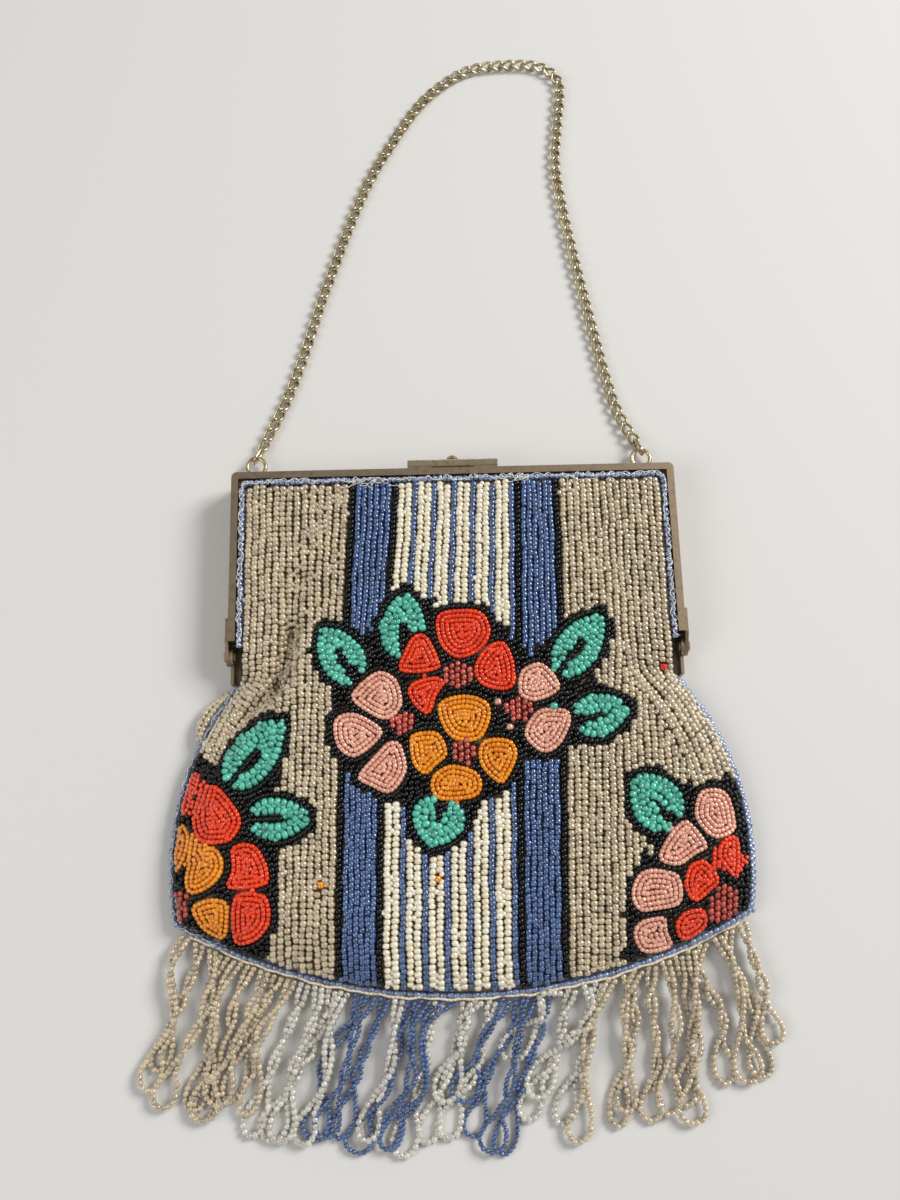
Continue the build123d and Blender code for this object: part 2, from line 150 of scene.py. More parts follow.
def arc_half_width(y, end_half, end_y):
    """Half width on the arc that leaves the widest point straight and passes through an end."""
    drop = WIDEST_HALF - end_half
    rise = end_y - WIDEST_Y
    radius = (drop * drop + rise * rise) / (2 * drop)
    inside = np.clip(radius * radius - (y - WIDEST_Y) ** 2, 0, None)
    return WIDEST_HALF - radius + np.sqrt(inside)


def half_width(y):
    """Half width of the seam line at a y, or of the frame's window above the hinge line."""
    y = np.asarray(y, float)
    upper = arc_half_width(np.clip(y, WIDEST_Y, NECK_Y), NECK_HALF, NECK_Y)
    lower = arc_half_width(np.clip(y, CORNER_Y, WIDEST_Y), CORNER_HALF, CORNER_Y)
    return np.where(y > WIDEST_Y, upper, lower)


def bottom_y(x):
    """The bottom seam, one arc from corner to corner."""
    sag = CORNER_Y - BOTTOM_Y
    radius = (CORNER_HALF ** 2 + sag ** 2) / (2 * sag)
    inside = np.clip(radius * radius - np.asarray(x, float) ** 2, 0, None)
    return BOTTOM_Y + radius - np.sqrt(inside)


def outline(step=1.0):
    """The seam line from the left neck round the bottom to the right neck."""
    side_y = np.arange(NECK_Y, CORNER_Y, -step)
    left = np.stack([-half_width(side_y), side_y], 1)
    bottom_x = np.arange(-CORNER_HALF, CORNER_HALF + step / 2, step)
    bottom = np.stack([bottom_x, bottom_y(bottom_x)], 1)
    right = np.stack([half_width(side_y), side_y], 1)[::-1]
    return np.concatenate([left, bottom, right])


SEAM_LINE = outline()


def seam_distance(x, y):
    """How far a place is from the seam line."""
    x, y = np.atleast_1d(np.asarray(x, float)), np.atleast_1d(np.asarray(y, float))
    nearest = np.full(x.shape, 1e9)
    for start, end in zip(SEAM_LINE[:-1], SEAM_LINE[1:]):
        nearest = np.minimum(nearest, distance_to(x, y, start, end))
    return nearest


# Creases in the cloth: start, end, half width and depth of each, where a ridge has a depth below nothing
CREASES = [
    ((-47.0, 38.0), (-40.0, 19.0), 4.5, 0.7),
    ((-40.0, 19.0), (-41.5, 7.0), 2.6, 1.6),
    ((-41.5, 5.0), (-44.5, -7.0), 2.1, 4.1),
    ((-45.6, -9.2), (-52.0, -15.0), 2.1, 3.9),
    ((-54.2, -17.4), (-60.0, -27.0), 2.2, 2.0),
    ((-38.0, -3.0), (-46.5, -18.0), 2.8, -1.1),
    ((-31.0, 40.0), (-34.0, 8.0), 4.0, 0.5),
    ((43.0, 26.0), (47.0, -16.0), 5.0, 1.3),
    ((47.0, -16.0), (54.0, -38.0), 4.5, 0.7),
    ((33.0, 12.0), (37.0, -20.0), 4.0, 0.4),
    ((-36.0, -30.0), (-40.0, -70.0), 5.0, 0.4),
    ((44.0, -40.0), (40.0, -74.0), 5.0, 0.35),
]


def crease_depth(x, y):
    """How far the creases let the front down."""
    depth = np.zeros_like(x)
    for start, end, half, deep in CREASES:
        away = distance_to(x, y, np.array(start), np.array(end))
        depth += deep * np.exp(-((away / half) ** 2))
    return depth


def front_height(x, y):
    """Height of the bead centres on the front."""
    x, y = np.broadcast_arrays(np.asarray(x, float), np.asarray(y, float))
    shape = x.shape
    x, y = x.ravel(), y.ravel()
    low = np.clip((NECK_Y - y) / (NECK_Y - BOTTOM_Y), 0, 1)
    level = FRONT_AT_WAIST + (FRONT_AT_BOTTOM - FRONT_AT_WAIST) * low ** 1.4
    across = np.clip(1 - (x / WINDOW_HALF) ** 2, 0, 1)
    along = changed(y, (WINDOW_TOP, RISE_BELOW_WINDOW_TOP))
    window = FRONT_AT_FRAME + (FRONT_AT_WAIST - FRONT_AT_FRAME + 0.5) * np.sqrt(across) * along
    rise = 1 - (1 - np.clip(seam_distance(x, y) / EDGE_SLOPE_WIDTH, 0, 1)) ** 2.4
    pillow = SEAM_HEIGHT + 0.5 + (level - SEAM_HEIGHT - 0.5) * rise
    mix = changed(y, WINDOW_INTO_PILLOW)
    mix = mix * mix * (3 - 2 * mix)
    height = window * (1 - mix) + pillow * mix
    inside = changed(y, (WINDOW_TOP, FLAT_BELOW_WINDOW_TOP))
    height = height - crease_depth(x, y) * inside
    height = height + 0.12 * np.sin(x * 0.31 + 1.0) * np.sin(y * 0.13) * inside
    return height.reshape(shape)


def front_normal(x, y):
    """The direction that stands upright on the front."""
    step = 0.4
    slope_x = (front_height(x + step, y) - front_height(x - step, y)) / (2 * step)
    slope_y = (front_height(x, y + step) - front_height(x, y - step)) / (2 * step)
    normal = np.stack([-slope_x, -slope_y, np.ones_like(slope_x)], 1)
    return normal / np.linalg.norm(normal, axis=1)[:, None]


def unit(vectors):
    """Vectors brought to length 1."""
    return vectors / np.maximum(np.linalg.norm(vectors, axis=-1, keepdims=True), 1e-9)


def smooth_through(points, fine=24, closed=False):
    """A smooth line through points, or a smooth loop through them."""
    points = np.array(points, float)
    if closed:
        padded = np.concatenate([points[-1:], points, points[:2]])
    else:
        padded = np.concatenate([2 * points[:1] - points[1:2], points, 2 * points[-1:] - points[-2:-1]])
    line = []
    for before, start, end, after in zip(padded, padded[1:], padded[2:], padded[3:]):
        leaving, arriving = (end - before) / 2, (after - start) / 2
        for t in np.linspace(0, 1, fine, endpoint=False):
            line.append((2 * t ** 3 - 3 * t ** 2 + 1) * start + (t ** 3 - 2 * t ** 2 + t) * leaving
                        + (-2 * t ** 3 + 3 * t ** 2) * end + (t ** 3 - t ** 2) * arriving)
    if not closed:
        line.append(points[-1])
    return np.array(line)


# Bead meshes

# Profiles of a bead from end to end: place along it and radius, as shares of half its length and radius
ROUND_PROFILE = [(-1.0, 0.6), (-0.5, 0.98), (0.5, 0.98), (1.0, 0.6)]
CLOSE_PROFILE = [(-1.0, 0.78), (-0.5, 0.98), (0.5, 0.98), (1.0, 0.78)]
PLAIN_PROFILE = [(-1.0, 0.6), (0.0, 1.0), (1.0, 0.6)]
# Share of each bead's value taken by painted light and shade: lighter on top, darker at the sides and ends
PAINTED_LIGHT_SHARE = 0.45


def mesh_of(name, points, faces, smooth=True):
    """An object from points in millimetres and equal-sized groups of faces."""
    mesh = bpy.data.meshes.new(name)
    loops = np.concatenate([group.ravel() for group in faces])
    sizes = np.concatenate([np.full(len(group), group.shape[1]) for group in faces])
    starts = np.concatenate([[0], np.cumsum(sizes)[:-1]])
    mesh.vertices.add(len(points))
    mesh.vertices.foreach_set("co", (points * MM).astype(np.float32).ravel())
    mesh.loops.add(len(loops))
    mesh.loops.foreach_set("vertex_index", loops.astype(np.int32))
    mesh.polygons.add(len(sizes))
    mesh.polygons.foreach_set("loop_start", starts.astype(np.int32))
    mesh.polygons.foreach_set("use_smooth", np.full(len(sizes), smooth))
    mesh.update(calc_edges=True)
    mesh.validate()
    piece = bpy.data.objects.new(name, mesh)
    bpy.context.scene.collection.objects.link(piece)
    return piece


def set_tone_and_painted_light(piece, values):
    """One value for each point, a random tone mixed with painted light and shade, which the materials read.
    """
    attribute = piece.data.attributes.new("tone_and_painted_light", "FLOAT", "POINT")
    attribute.data.foreach_set("value", values.astype(np.float32))


def bead_piece(name, beads, material, profile=ROUND_PROFILE, sides=6):
    """All beads of one kind as one mesh. Each has a centre, a thread direction, a normal and two sizes."""
    centres = np.array([bead[0] for bead in beads], float)
    threads = unit(np.array([bead[1] for bead in beads], float))
    normals = np.array([bead[2] for bead in beads], float)
    widths = np.array([bead[3] for bead in beads], float)
    lengths = np.array([bead[4] for bead in beads], float)
    sideways = unit(np.cross(threads, normals))
    normals = np.cross(sideways, threads)
    count, rings = len(beads), len(profile)
    angles = 2 * math.pi * (np.arange(sides) + 0.5) / sides
    points = np.zeros((count, rings, sides, 3))
    painted_crown_light = np.zeros((rings, sides))
    for ring, (along, out) in enumerate(profile):
        middle = centres + threads * (lengths * along / 2)[:, None]
        for side, angle in enumerate(angles):
            spoke = normals * math.cos(angle) + sideways * math.sin(angle)
            points[:, ring, side] = middle + spoke * (widths * out / 2)[:, None]
            # Painted light and shade: the top of each bead lighter, its sides, underside and ends darker
            painted_crown_light[ring, side] = 0.5 + 0.5 * math.cos(angle) - 0.4 * abs(along) ** 3
    quads = []
    for ring in range(rings - 1):
        for side in range(sides):
            beside = (side + 1) % sides
            quads.append([ring * sides + side, ring * sides + beside,
                          (ring + 1) * sides + beside, (ring + 1) * sides + side])
    caps = [range(sides)[::-1], range((rings - 1) * sides, rings * sides)]
    offsets = (np.arange(count) * rings * sides)[:, None, None]
    quad_faces = (np.array(quads)[None] + offsets).reshape(-1, 4)[:, ::-1]
    cap_faces = (np.array(caps)[None] + offsets).reshape(-1, sides)[:, ::-1]
    piece = mesh_of(name, points.reshape(-1, 3), [quad_faces, cap_faces])
    # Random tone of each bead mixed with the painted light and shade of its crown
    tones_and_painted_light = (1 - PAINTED_LIGHT_SHARE) * random.random(count)[:, None] + PAINTED_LIGHT_SHARE * painted_crown_light.ravel()[None]
    set_tone_and_painted_light(piece, tones_and_painted_light.ravel())
    piece.data.materials.append(material)
    return piece


# Materials


class Finish:
    """A material in the making, with helpers that add nodes to it and join them."""

    def __init__(self, name):
        self.material = bpy.data.materials.new(name)
        self.material.use_nodes = True
        self.tree = self.material.node_tree
        self.surface = self.tree.nodes["Principled BSDF"]

    def feed(self, node, inputs):
        """Set inputs of a node, or join them to outputs of other nodes."""
        for key, value in inputs.items():
            if isinstance(value, bpy.types.NodeSocket):
                self.tree.links.new(value, node.inputs[key])
            else:
                node.inputs[key].default_value = value

    def add(self, kind, inputs, **settings):
        """A new node with its settings and its inputs."""
        node = self.tree.nodes.new(kind)
        for key, value in settings.items():
            setattr(node, key, value)
        self.feed(node, inputs)
        return node

    def texture(self, kind, inputs, **settings):
        """How strong a texture is, laid in the object's own space."""
        place = self.add("ShaderNodeTexCoord", {}).outputs["Object"]
        return self.add(kind, {"Vector": place, **inputs}, **settings).outputs["Fac"]

    def ramp(self, strength, first, last, start=0.0, end=1.0):
        """A colour between two, by a strength."""
        node = self.add("ShaderNodeValToRGB", {"Fac": strength})
        for element, position, colour in zip(node.color_ramp.elements, (start, end), (first, last)):
            element.position = position
            element.color = colour
        return node.outputs["Color"]

    def bump(self, height, strength, distance):
        """A surface that a texture raises, with the distance in metres."""
        inputs = {"Height": height, "Strength": strength, "Distance": distance}
        return self.add("ShaderNodeBump", inputs).outputs["Normal"]


def srgb(red, green, blue):
    """A colour given as it looks on screen, from 0 to 255."""
    def linear(value):
        value = value / 255
        return value / 12.92 if value < 0.04045 else ((value + 0.055) / 1.055) ** 2.4
    return (linear(red), linear(green), linear(blue), 1.0)


def glass_bead(name, dark, light, roughness=0.1, coat=1.0, clear=0.15, ior=1.6):
    """Glass beads, each a little different, with painted highlight on their crowns and painted shade at their
    sides and ends, and clouded inside.
    """
    finish = Finish(name)
    # The attribute holds each bead's random tone and its painted light and shade.
    tone_and_painted_light = finish.add("ShaderNodeAttribute", {}, attribute_name="tone_and_painted_light").outputs["Fac"]
    clouds = finish.texture("ShaderNodeTexNoise", {"Scale": 900.0, "Detail": 2.0})
    mixed = finish.add("ShaderNodeMath", {0: clouds, 1: 0.35, 2: tone_and_painted_light}, operation="MULTIPLY_ADD")
    finish.feed(finish.surface, {
        "Base Color": finish.ramp(mixed.outputs[0], dark, light, 0.12, 0.98),
        "Roughness": roughness,
        "IOR": ior,
        "Coat Weight": coat,
        "Coat Roughness": 0.04,
        "Coat IOR": 1.95,
        "Transmission Weight": clear,
    })
    return finish.material


def worn_metal(name, bright, tarnish, amount, roughness):
    """Plated metal whose plating has dulled and browned in patches, with fine scratches."""
    finish = Finish(name)
    patches = finish.texture("ShaderNodeTexNoise", {"Scale": 620.0, "Detail": 5.0, "Roughness": 0.6})
    scratches = finish.texture("ShaderNodeTexNoise", {"Scale": 1600.0})
    dulling = {"Value": patches, "To Min": roughness, "To Max": roughness + 0.2}
    polish = finish.add("ShaderNodeMapRange", dulling)
    finish.feed(finish.surface, {
        "Base Color": finish.ramp(patches, bright, tarnish, 0.5 - amount, 0.72 - amount * 0.5),
        "Roughness": polish.outputs["Result"],
        "Normal": finish.bump(scratches, 0.25, 0.00006),
        "Metallic": 1.0,
    })
    return finish.material


def woven_cloth(name, dark, light, threads_per_metre):
    """Plain-woven cloth: over and under threads in the bump and the colour."""
    finish = Finish(name)
    waves = {"Scale": threads_per_metre / 20.0, "Distortion": 0.6}
    warp = finish.texture("ShaderNodeTexWave", waves, bands_direction="X")
    weft = finish.texture("ShaderNodeTexWave", waves, bands_direction="Y")
    weave = finish.add("ShaderNodeMath", {0: warp, 1: weft}, operation="MAXIMUM").outputs[0]
    finish.feed(finish.surface, {
        "Base Color": finish.ramp(weave, dark, light),
        "Normal": finish.bump(weave, 0.5, 0.0001),
        "Roughness": 0.85,
        "Sheen Weight": 0.2,
    })
    return finish.material


def plain_finish(name, colour):
    """One matt colour, for the floor alone."""
    finish = Finish(name)
    finish.feed(finish.surface, {"Base Color": colour, "Roughness": 0.9})
    return finish.material


GLASS = {
    "beige": glass_bead("glass_beige", srgb(106, 90, 62), srgb(230, 206, 164), clear=0.35),
    "white": glass_bead("glass_white", srgb(232, 206, 162), srgb(255, 248, 222), clear=0.15),
    "blue": glass_bead("glass_blue", srgb(10, 26, 62), srgb(70, 102, 156), coat=0.6, ior=1.45),
    "black": glass_bead("glass_black", srgb(0, 0, 0), srgb(5, 4, 4), 0.05, 0.16, 0.0, 1.3),
    "teal": glass_bead("glass_teal", srgb(12, 98, 82), srgb(92, 196, 170), 0.14, 0.5, 0.0, 1.4),
    "red": glass_bead("glass_red", srgb(188, 12, 0), srgb(255, 66, 4), coat=0.3, ior=1.4),
    "orange": glass_bead("glass_orange", srgb(214, 88, 0), srgb(255, 162, 12), coat=0.35, ior=1.4),
    "pink": glass_bead("glass_pink", srgb(194, 106, 88), srgb(255, 188, 160), coat=0.7, ior=1.5),
    "centre": glass_bead("glass_dark_red", srgb(104, 18, 14), srgb(196, 80, 66), 0.16, 0.4, 0.0, 1.4),
    "clear": glass_bead("glass_clear", srgb(150, 138, 116), srgb(246, 240, 226), clear=0.45),
    "edging": glass_bead("glass_edging", srgb(40, 60, 104), srgb(122, 146, 190)),
}
FRAME_METAL = worn_metal("frame_metal_worn", srgb(172, 152, 128), srgb(140, 122, 100), 0.03, 0.28)
CLASP_METAL = worn_metal("clasp_metal_worn", srgb(200, 182, 154), srgb(160, 140, 112), 0.03, 0.2)
CHAIN_METAL = worn_metal("chain_metal_worn", srgb(216, 202, 166), srgb(142, 124, 92), 0.06, 0.2)
GROUND_CLOTH = woven_cloth("ground_cloth", srgb(88, 77, 56), srgb(130, 115, 86), 1500)
LINING_CLOTH = woven_cloth("lining_cloth", srgb(182, 170, 149), srgb(196, 184, 162), 2600)
THREAD = woven_cloth("white_thread", srgb(204, 198, 184), srgb(244, 240, 230), 6000)
CREAM_CORD = woven_cloth("cream_cord", srgb(188, 168, 136), srgb(236, 222, 196), 6000)

# The flowers and leaves, as pixels of the photograph

FLOWER_HEIGHT = 9.6


class Flower:
    """A flower: its heart's middle and size, and the corners of each petal, in the photograph."""

    def __init__(self, colour, heart, heart_size, petals):
        self.colour = colour
        self.heart = heart
        self.heart_size = heart_size
        self.petals = petals


BOUQUET_RED = Flower("red", (458, 674), (27, 22), [
    [(438, 614), (462, 609), (483, 613), (491, 633), (479, 652), (459, 659), (444, 651), (436, 634)],
    [(413, 636), (427, 636), (441, 664), (435, 671), (411, 674), (398, 669), (404, 651)],
    [(487, 646), (504, 642), (514, 660), (515, 684), (502, 691), (480, 684), (474, 666)],
    [(407, 691), (415, 681), (436, 676), (445, 683), (437, 696), (429, 715), (415, 707)],
])
BOUQUET_ORANGE = Flower("orange", (464, 751), (21, 24), [
    [(439, 702), (464, 694), (487, 701), (491, 718), (479, 740), (453, 739), (440, 722)],
    [(413, 733), (438, 732), (448, 753), (437, 765), (425, 775), (413, 765), (409, 746)],
    [(482, 741), (498, 737), (513, 741), (518, 755), (511, 773), (501, 784), (484, 771), (478, 756)],
    [(434, 773), (452, 764), (478, 772), (482, 790), (470, 799), (440, 800), (430, 788)],
])
BOUQUET_PINK_LEFT = Flower("pink", (403, 723), (23, 20), [
    [(352, 692), (377, 671), (397, 680), (402, 706), (384, 720), (356, 705)],
    [(336, 717), (357, 713), (383, 732), (357, 757), (339, 750), (333, 734)],
    [(389, 741), (401, 744), (407, 770), (391, 793), (371, 787), (357, 776), (377, 752)],
])
BOUQUET_PINK_RIGHT = Flower("pink", (518, 709), (26, 21), [
    [(523, 668), (543, 663), (561, 687), (538, 701), (520, 696), (518, 681)],
    [(539, 709), (567, 709), (571, 723), (561, 744), (546, 753), (532, 746), (524, 731)],
])
CORNER_LEFT_RED = Flower("red", (176, 906), (16, 32), [
    [(189, 771), (199, 775), (191, 797), (184, 812), (175, 815), (180, 794)],
    [(199, 789), (212, 784), (225, 793), (241, 818), (234, 837), (222, 844), (197, 841), (189, 815)],
    [(230, 848), (245, 842), (258, 848), (268, 869), (264, 886), (226, 889), (230, 869)],
    [(233, 896), (263, 894), (270, 914), (265, 931), (249, 944), (230, 942)],
])
CORNER_LEFT_ORANGE = Flower("orange", (176, 906), (16, 32), [
    [(177, 822), (187, 832), (185, 852), (173, 872), (169, 858), (172, 838)],
    [(191, 852), (215, 847), (223, 867), (211, 886), (189, 895), (181, 881)],
    [(189, 906), (208, 898), (225, 901), (227, 915), (221, 940), (200, 932), (191, 919)],
])
CORNER_RIGHT_PINK = Flower("pink", (727, 904), (28, 37), [
    [(700, 792), (717, 787), (731, 794), (738, 815), (737, 831), (715, 838), (696, 818)],
    [(680, 822), (692, 822), (709, 845), (697, 855), (679, 866), (660, 860), (664, 843)],
    [(640, 873), (658, 868), (680, 875), (683, 903), (657, 911), (640, 911), (632, 894)],
    [(642, 921), (666, 916), (671, 931), (677, 946), (664, 953), (645, 953), (635, 935)],
])
CORNER_RIGHT_RED = Flower("red", (727, 904), (28, 37), [
    [(724, 839), (740, 835), (744, 855), (741, 880), (731, 873), (719, 856)],
    [(691, 864), (707, 860), (722, 880), (711, 893), (699, 902), (689, 896), (685, 881)],
    [(686, 911), (705, 908), (712, 921), (708, 931), (692, 941), (681, 937), (678, 923)],
])
FLOWERS = [BOUQUET_RED, BOUQUET_ORANGE, BOUQUET_PINK_LEFT, BOUQUET_PINK_RIGHT,
           CORNER_LEFT_RED, CORNER_LEFT_ORANGE, CORNER_RIGHT_PINK, CORNER_RIGHT_RED]

# Leaves: tip, open base and width across
LEAVES = [
    ((321, 628), (358, 681), 44),
    ((406, 592), (401, 660), 46),
    ((603, 614), (557, 674), 43),
    ((630, 706), (573, 722), 43),
    ((431, 847), (444, 796), 54),
    ((283, 720), (227, 786), 46),
    ((311, 817), (246, 820), 43),
    ((634, 775), (677, 825), 52),
]

# Single beads that went astray
STRAY_BEADS = [
    ("red", (665, 665)),
    ("orange", (320, 885)),
    ("orange", (438, 879)),
    ("teal", (554, 706)),
    ("pink", (498, 702)),
    ("pink", (510, 727)),
]


def on_cloth(pixels):
    """Pixels of the photograph brought to the front cloth."""
    return np.array([from_photo(pixel, FLOWER_HEIGHT) for pixel in pixels])


def leaf_outline(tip, base, width):
    """A leaf: pointed at its tip and rounded at its base."""
    tip, base = np.array(tip, float), np.array(base, float)
    middle = (tip + base) / 2
    along = tip - base
    length = np.hypot(*along)
    along = along / length
    aside = np.array([-along[1], along[0]])
    spokes = []
    for angle in np.linspace(0, 2 * math.pi, 60, endpoint=False):
        forward = math.cos(angle)
        swell = abs(math.sin(angle)) ** (1.0 + 0.35 * max(forward, 0)) * np.sign(math.sin(angle))
        spokes.append(middle + along * length / 2 * forward + aside * width / 2 * swell * (1 - 0.2 * forward))
    return on_cloth(spokes)


def grown(loop, amount):
    """A loop moved out along its own normals by an amount, or in where that is negative."""
    ahead = np.roll(loop, -1, 0) - np.roll(loop, 1, 0)
    normal = unit(np.stack([ahead[:, 1], -ahead[:, 0]], 1))
    middle = loop.mean(0)
    outward = np.sign(((loop - middle) * normal).sum(1))
    outward = 1.0 if outward.sum() > 0 else -1.0
    moved = loop + normal * outward * amount
    kept = ((moved - middle) * (loop - middle)).sum(1) > 0
    return moved[kept] if amount < 0 else moved


def area_of(loop):
    """The area inside a loop."""
    x, y = loop[:, 0], loop[:, 1]
    return 0.5 * abs((x * np.roll(y, -1) - y * np.roll(x, -1)).sum())


def lengths_along(line):
    """How far along a line each of its points is."""
    return np.concatenate([[0], np.cumsum(np.linalg.norm(np.diff(line, axis=0), axis=1))])


def places_at(stops, walked, line):
    """The places on a line after some lengths of it."""
    return np.stack([np.interp(stops, walked, line[:, i]) for i in range(line.shape[1])], -1)


def spaced(line, pitch, closed=True):
    """Places at an even pitch along a line, and the line's direction at each."""
    points = np.concatenate([line, line[:1]]) if closed else line
    walked = lengths_along(points)
    count = max(int(round(walked[-1] / pitch)), 1)
    stops = (np.arange(count) + 0.5) * walked[-1] / count
    after = places_at(np.minimum(stops + 0.2, walked[-1]), walked, points)
    before = places_at(np.maximum(stops - 0.2, 0), walked, points)
    return places_at(stops, walked, points), unit(after - before)


def gap_to(places, loop):
    """How far each place is from the nearest point of a loop."""
    return np.hypot(places[:, :1] - loop[:, 0], places[:, 1:] - loop[:, 1]).min(1)


def inside_loop(places, loop):
    """Which places lie inside a closed loop."""
    x, y = places[:, 0], places[:, 1]
    inside = np.zeros(len(places), bool)
    for (x1, y1), (x2, y2) in zip(loop, np.roll(loop, -1, 0)):
        crosses = (y1 > y) != (y2 > y)
        with np.errstate(divide="ignore", invalid="ignore"):
            reach = (x2 - x1) * (y - y1) / (y2 - y1) + x1
        inside ^= crosses & (x < reach)
    return inside


# Laying the beads on the front

# How near two beads may lie, as a share of the smaller size, and the smallest ring that is laid
TOUCHING_SHARE = 0.78
SMALLEST_RING_POINTS = 5
SMALLEST_RING_AREA = 0.6
PETAL_RINGS = 7
LEAF_RINGS = 3
LEAF_SLIT_SHARE = 0.55
OUTLINE_OFFSET = 0.7

# Black beads between motifs: how near the second nearest motif is, and both distances beside the seam
BETWEEN_REACH = 3.4
BESIDE_SEAM_REACH = 3.2
BESIDE_SEAM_WIDTH = 4.2
ROW_TO_MOTIF = 1.5
BEAD_TO_ROW = 1.25


def on_front(x, y, margin=FRONT_SEAM_MARGIN):
    """Whether a bead fits there: inside the frame's window, or inside the seam below it by a margin."""
    x, y = np.atleast_1d(x).astype(float), np.atleast_1d(y).astype(float)
    window = (np.abs(x) < WINDOW_HALF) & (y < WINDOW_TOP) & (y >= NECK_Y)
    body = (y < NECK_Y) & (np.abs(x) < half_width(y)) & (y > bottom_y(x))
    body &= seam_distance(x, y) > margin
    return window | body


class Beadwork:
    """The beads laid so far on one side, by colour."""

    def __init__(self):
        self.places = np.zeros((MOST_BEADS, 2))
        self.clear = np.zeros(MOST_BEADS)
        self.count = 0
        self.groups = {}
        self.motifs = []

    def taken(self, place, clear):
        """Whether another bead is too near a place."""
        near = self.places[:self.count]
        reach = (self.clear[:self.count] + clear) / 2
        return bool((np.hypot(near[:, 0] - place[0], near[:, 1] - place[1]) < reach).any())

    def lay(self, colour, places, directions, width, length, clear=None):
        """Beads at places where the cloth is free."""
        clear = clear or TOUCHING_SHARE * min(width, length)
        places = np.atleast_2d(places)
        for place, direction, fits in zip(places, directions, on_front(places[:, 0], places[:, 1])):
            if fits and not self.taken(place, clear):
                self.places[self.count] = place
                self.clear[self.count] = clear
                self.count += 1
                self.add(colour, place, direction, width, length)

    def add(self, colour, place, direction, width, length):
        """Keep a bead of a colour."""
        bead = (place[0], place[1], direction[0], direction[1], width, length)
        self.groups.setdefault(colour, []).append(bead)


def lay_rings(work, colour, loop, width, length, row, rings):
    """Concentric rows of beads that follow an outline inwards."""
    for ring in range(rings):
        line = grown(loop, -row * (ring + 0.5))
        if len(line) < SMALLEST_RING_POINTS or area_of(line) < SMALLEST_RING_AREA:
            break
        work.lay(colour, *spaced(line, length * 1.03), width, length)


def lay_heart(work, loop):
    """The heart of a flower: upright rows of dark red beads."""
    low, high = loop.min(0), loop.max(0)
    places = []
    for number, x in enumerate(np.arange(low[0] + 0.75, high[0], HEART_BEAD)):
        for y in np.arange(high[1] - 0.6 - 0.6 * (number % 2), low[1], -1.4):
            places.append((x, y))
    places = np.array(places)
    places = places[inside_loop(places, loop)]
    places = places + random.normal(0, 0.1, places.shape)
    leans = np.stack([random.normal(0, 0.3, len(places)), np.ones(len(places))], 1)
    work.lay("centre", places, leans, HEART_BEAD, 1.42, 1.0)


def grid_places(low, high, pitch):
    """Places on a grid between two corners."""
    x, y = np.meshgrid(np.arange(low[0], high[0], pitch), np.arange(high[1], low[1], -pitch))
    return np.stack([x.ravel(), y.ravel()], 1)


def fill_petal(work, colour, loop):
    """Smaller beads in what the rows of a petal leave free."""
    places = grid_places(loop.min(0), loop.max(0), 0.3)
    places = places[inside_loop(places, grown(loop, -0.45))]
    work.lay(colour, places, np.tile([0.3, 1.0], (len(places), 1)), 1.2, 1.0, 0.7)


def fill_between(work):
    """Black beads in the narrow places between neighbouring petals and leaves."""
    everything = np.concatenate(work.motifs)
    places = grid_places(everything.min(0) - 2, everything.max(0) + 2, 0.68)
    nearest = np.full((2, len(places)), 1e9)
    for loop in work.motifs:
        gap = gap_to(places, loop)
        nearest[1] = np.minimum(nearest[1], np.maximum(nearest[0], gap))
        nearest[0] = np.minimum(nearest[0], gap)
    beside_seam = seam_distance(places[:, 0], places[:, 1]) < BESIDE_SEAM_WIDTH
    beside_seam &= (nearest[0] < BESIDE_SEAM_REACH) & (places[:, 1] < NECK_Y)
    between = places[(nearest[1] < BETWEEN_REACH) | beside_seam]
    slants = random.random(len(between)) * math.pi
    directions = np.stack([np.cos(slants), np.sin(slants)], 1)
    work.lay("black", between, directions, OUTLINE_BEAD, OUTLINE_LENGTH, 1.2)


def lay_motifs(work):
    """The flowers and leaves, each with its black outline."""
    for colour, pixel in STRAY_BEADS:
        size = SMALL_BEAD if colour == "orange" else LEAF_BEAD
        work.lay(colour, on_cloth([pixel]), [(0, 1)], size, LEAF_LENGTH)
    turns = np.linspace(0, 2 * math.pi, 24, endpoint=False)
    circle = np.stack([np.cos(turns), np.sin(turns)], 1)
    for flower in FLOWERS:
        heart = on_cloth(np.array(flower.heart) + np.array(flower.heart_size) / 2 * circle)
        lay_heart(work, grown(heart, 0.4))
        work.motifs.append(heart)
    for flower in FLOWERS:
        for corners in flower.petals:
            loop = smooth_through(on_cloth(corners), 8, closed=True)
            lay_rings(work, flower.colour, loop, PETAL_BEAD, PETAL_LENGTH, PETAL_ROW, PETAL_RINGS)
            fill_petal(work, flower.colour, loop)
            work.motifs.append(loop)
    for tip, base, width in LEAVES:
        loop = leaf_outline(tip, base, width)
        slit = on_cloth([base, np.array(base) + (np.array(tip) - np.array(base)) * LEAF_SLIT_SHARE])
        work.lay("black", *spaced(slit, OUTLINE_LENGTH, closed=False), OUTLINE_BEAD, OUTLINE_LENGTH)
        lay_rings(work, "teal", loop, LEAF_BEAD, LEAF_LENGTH, LEAF_ROW, LEAF_RINGS)
        work.motifs.append(loop)
    for loop in work.motifs:
        outer = grown(loop, OUTLINE_OFFSET)
        work.lay("black", *spaced(outer, OUTLINE_LENGTH), OUTLINE_BEAD, OUTLINE_LENGTH)
    fill_between(work)


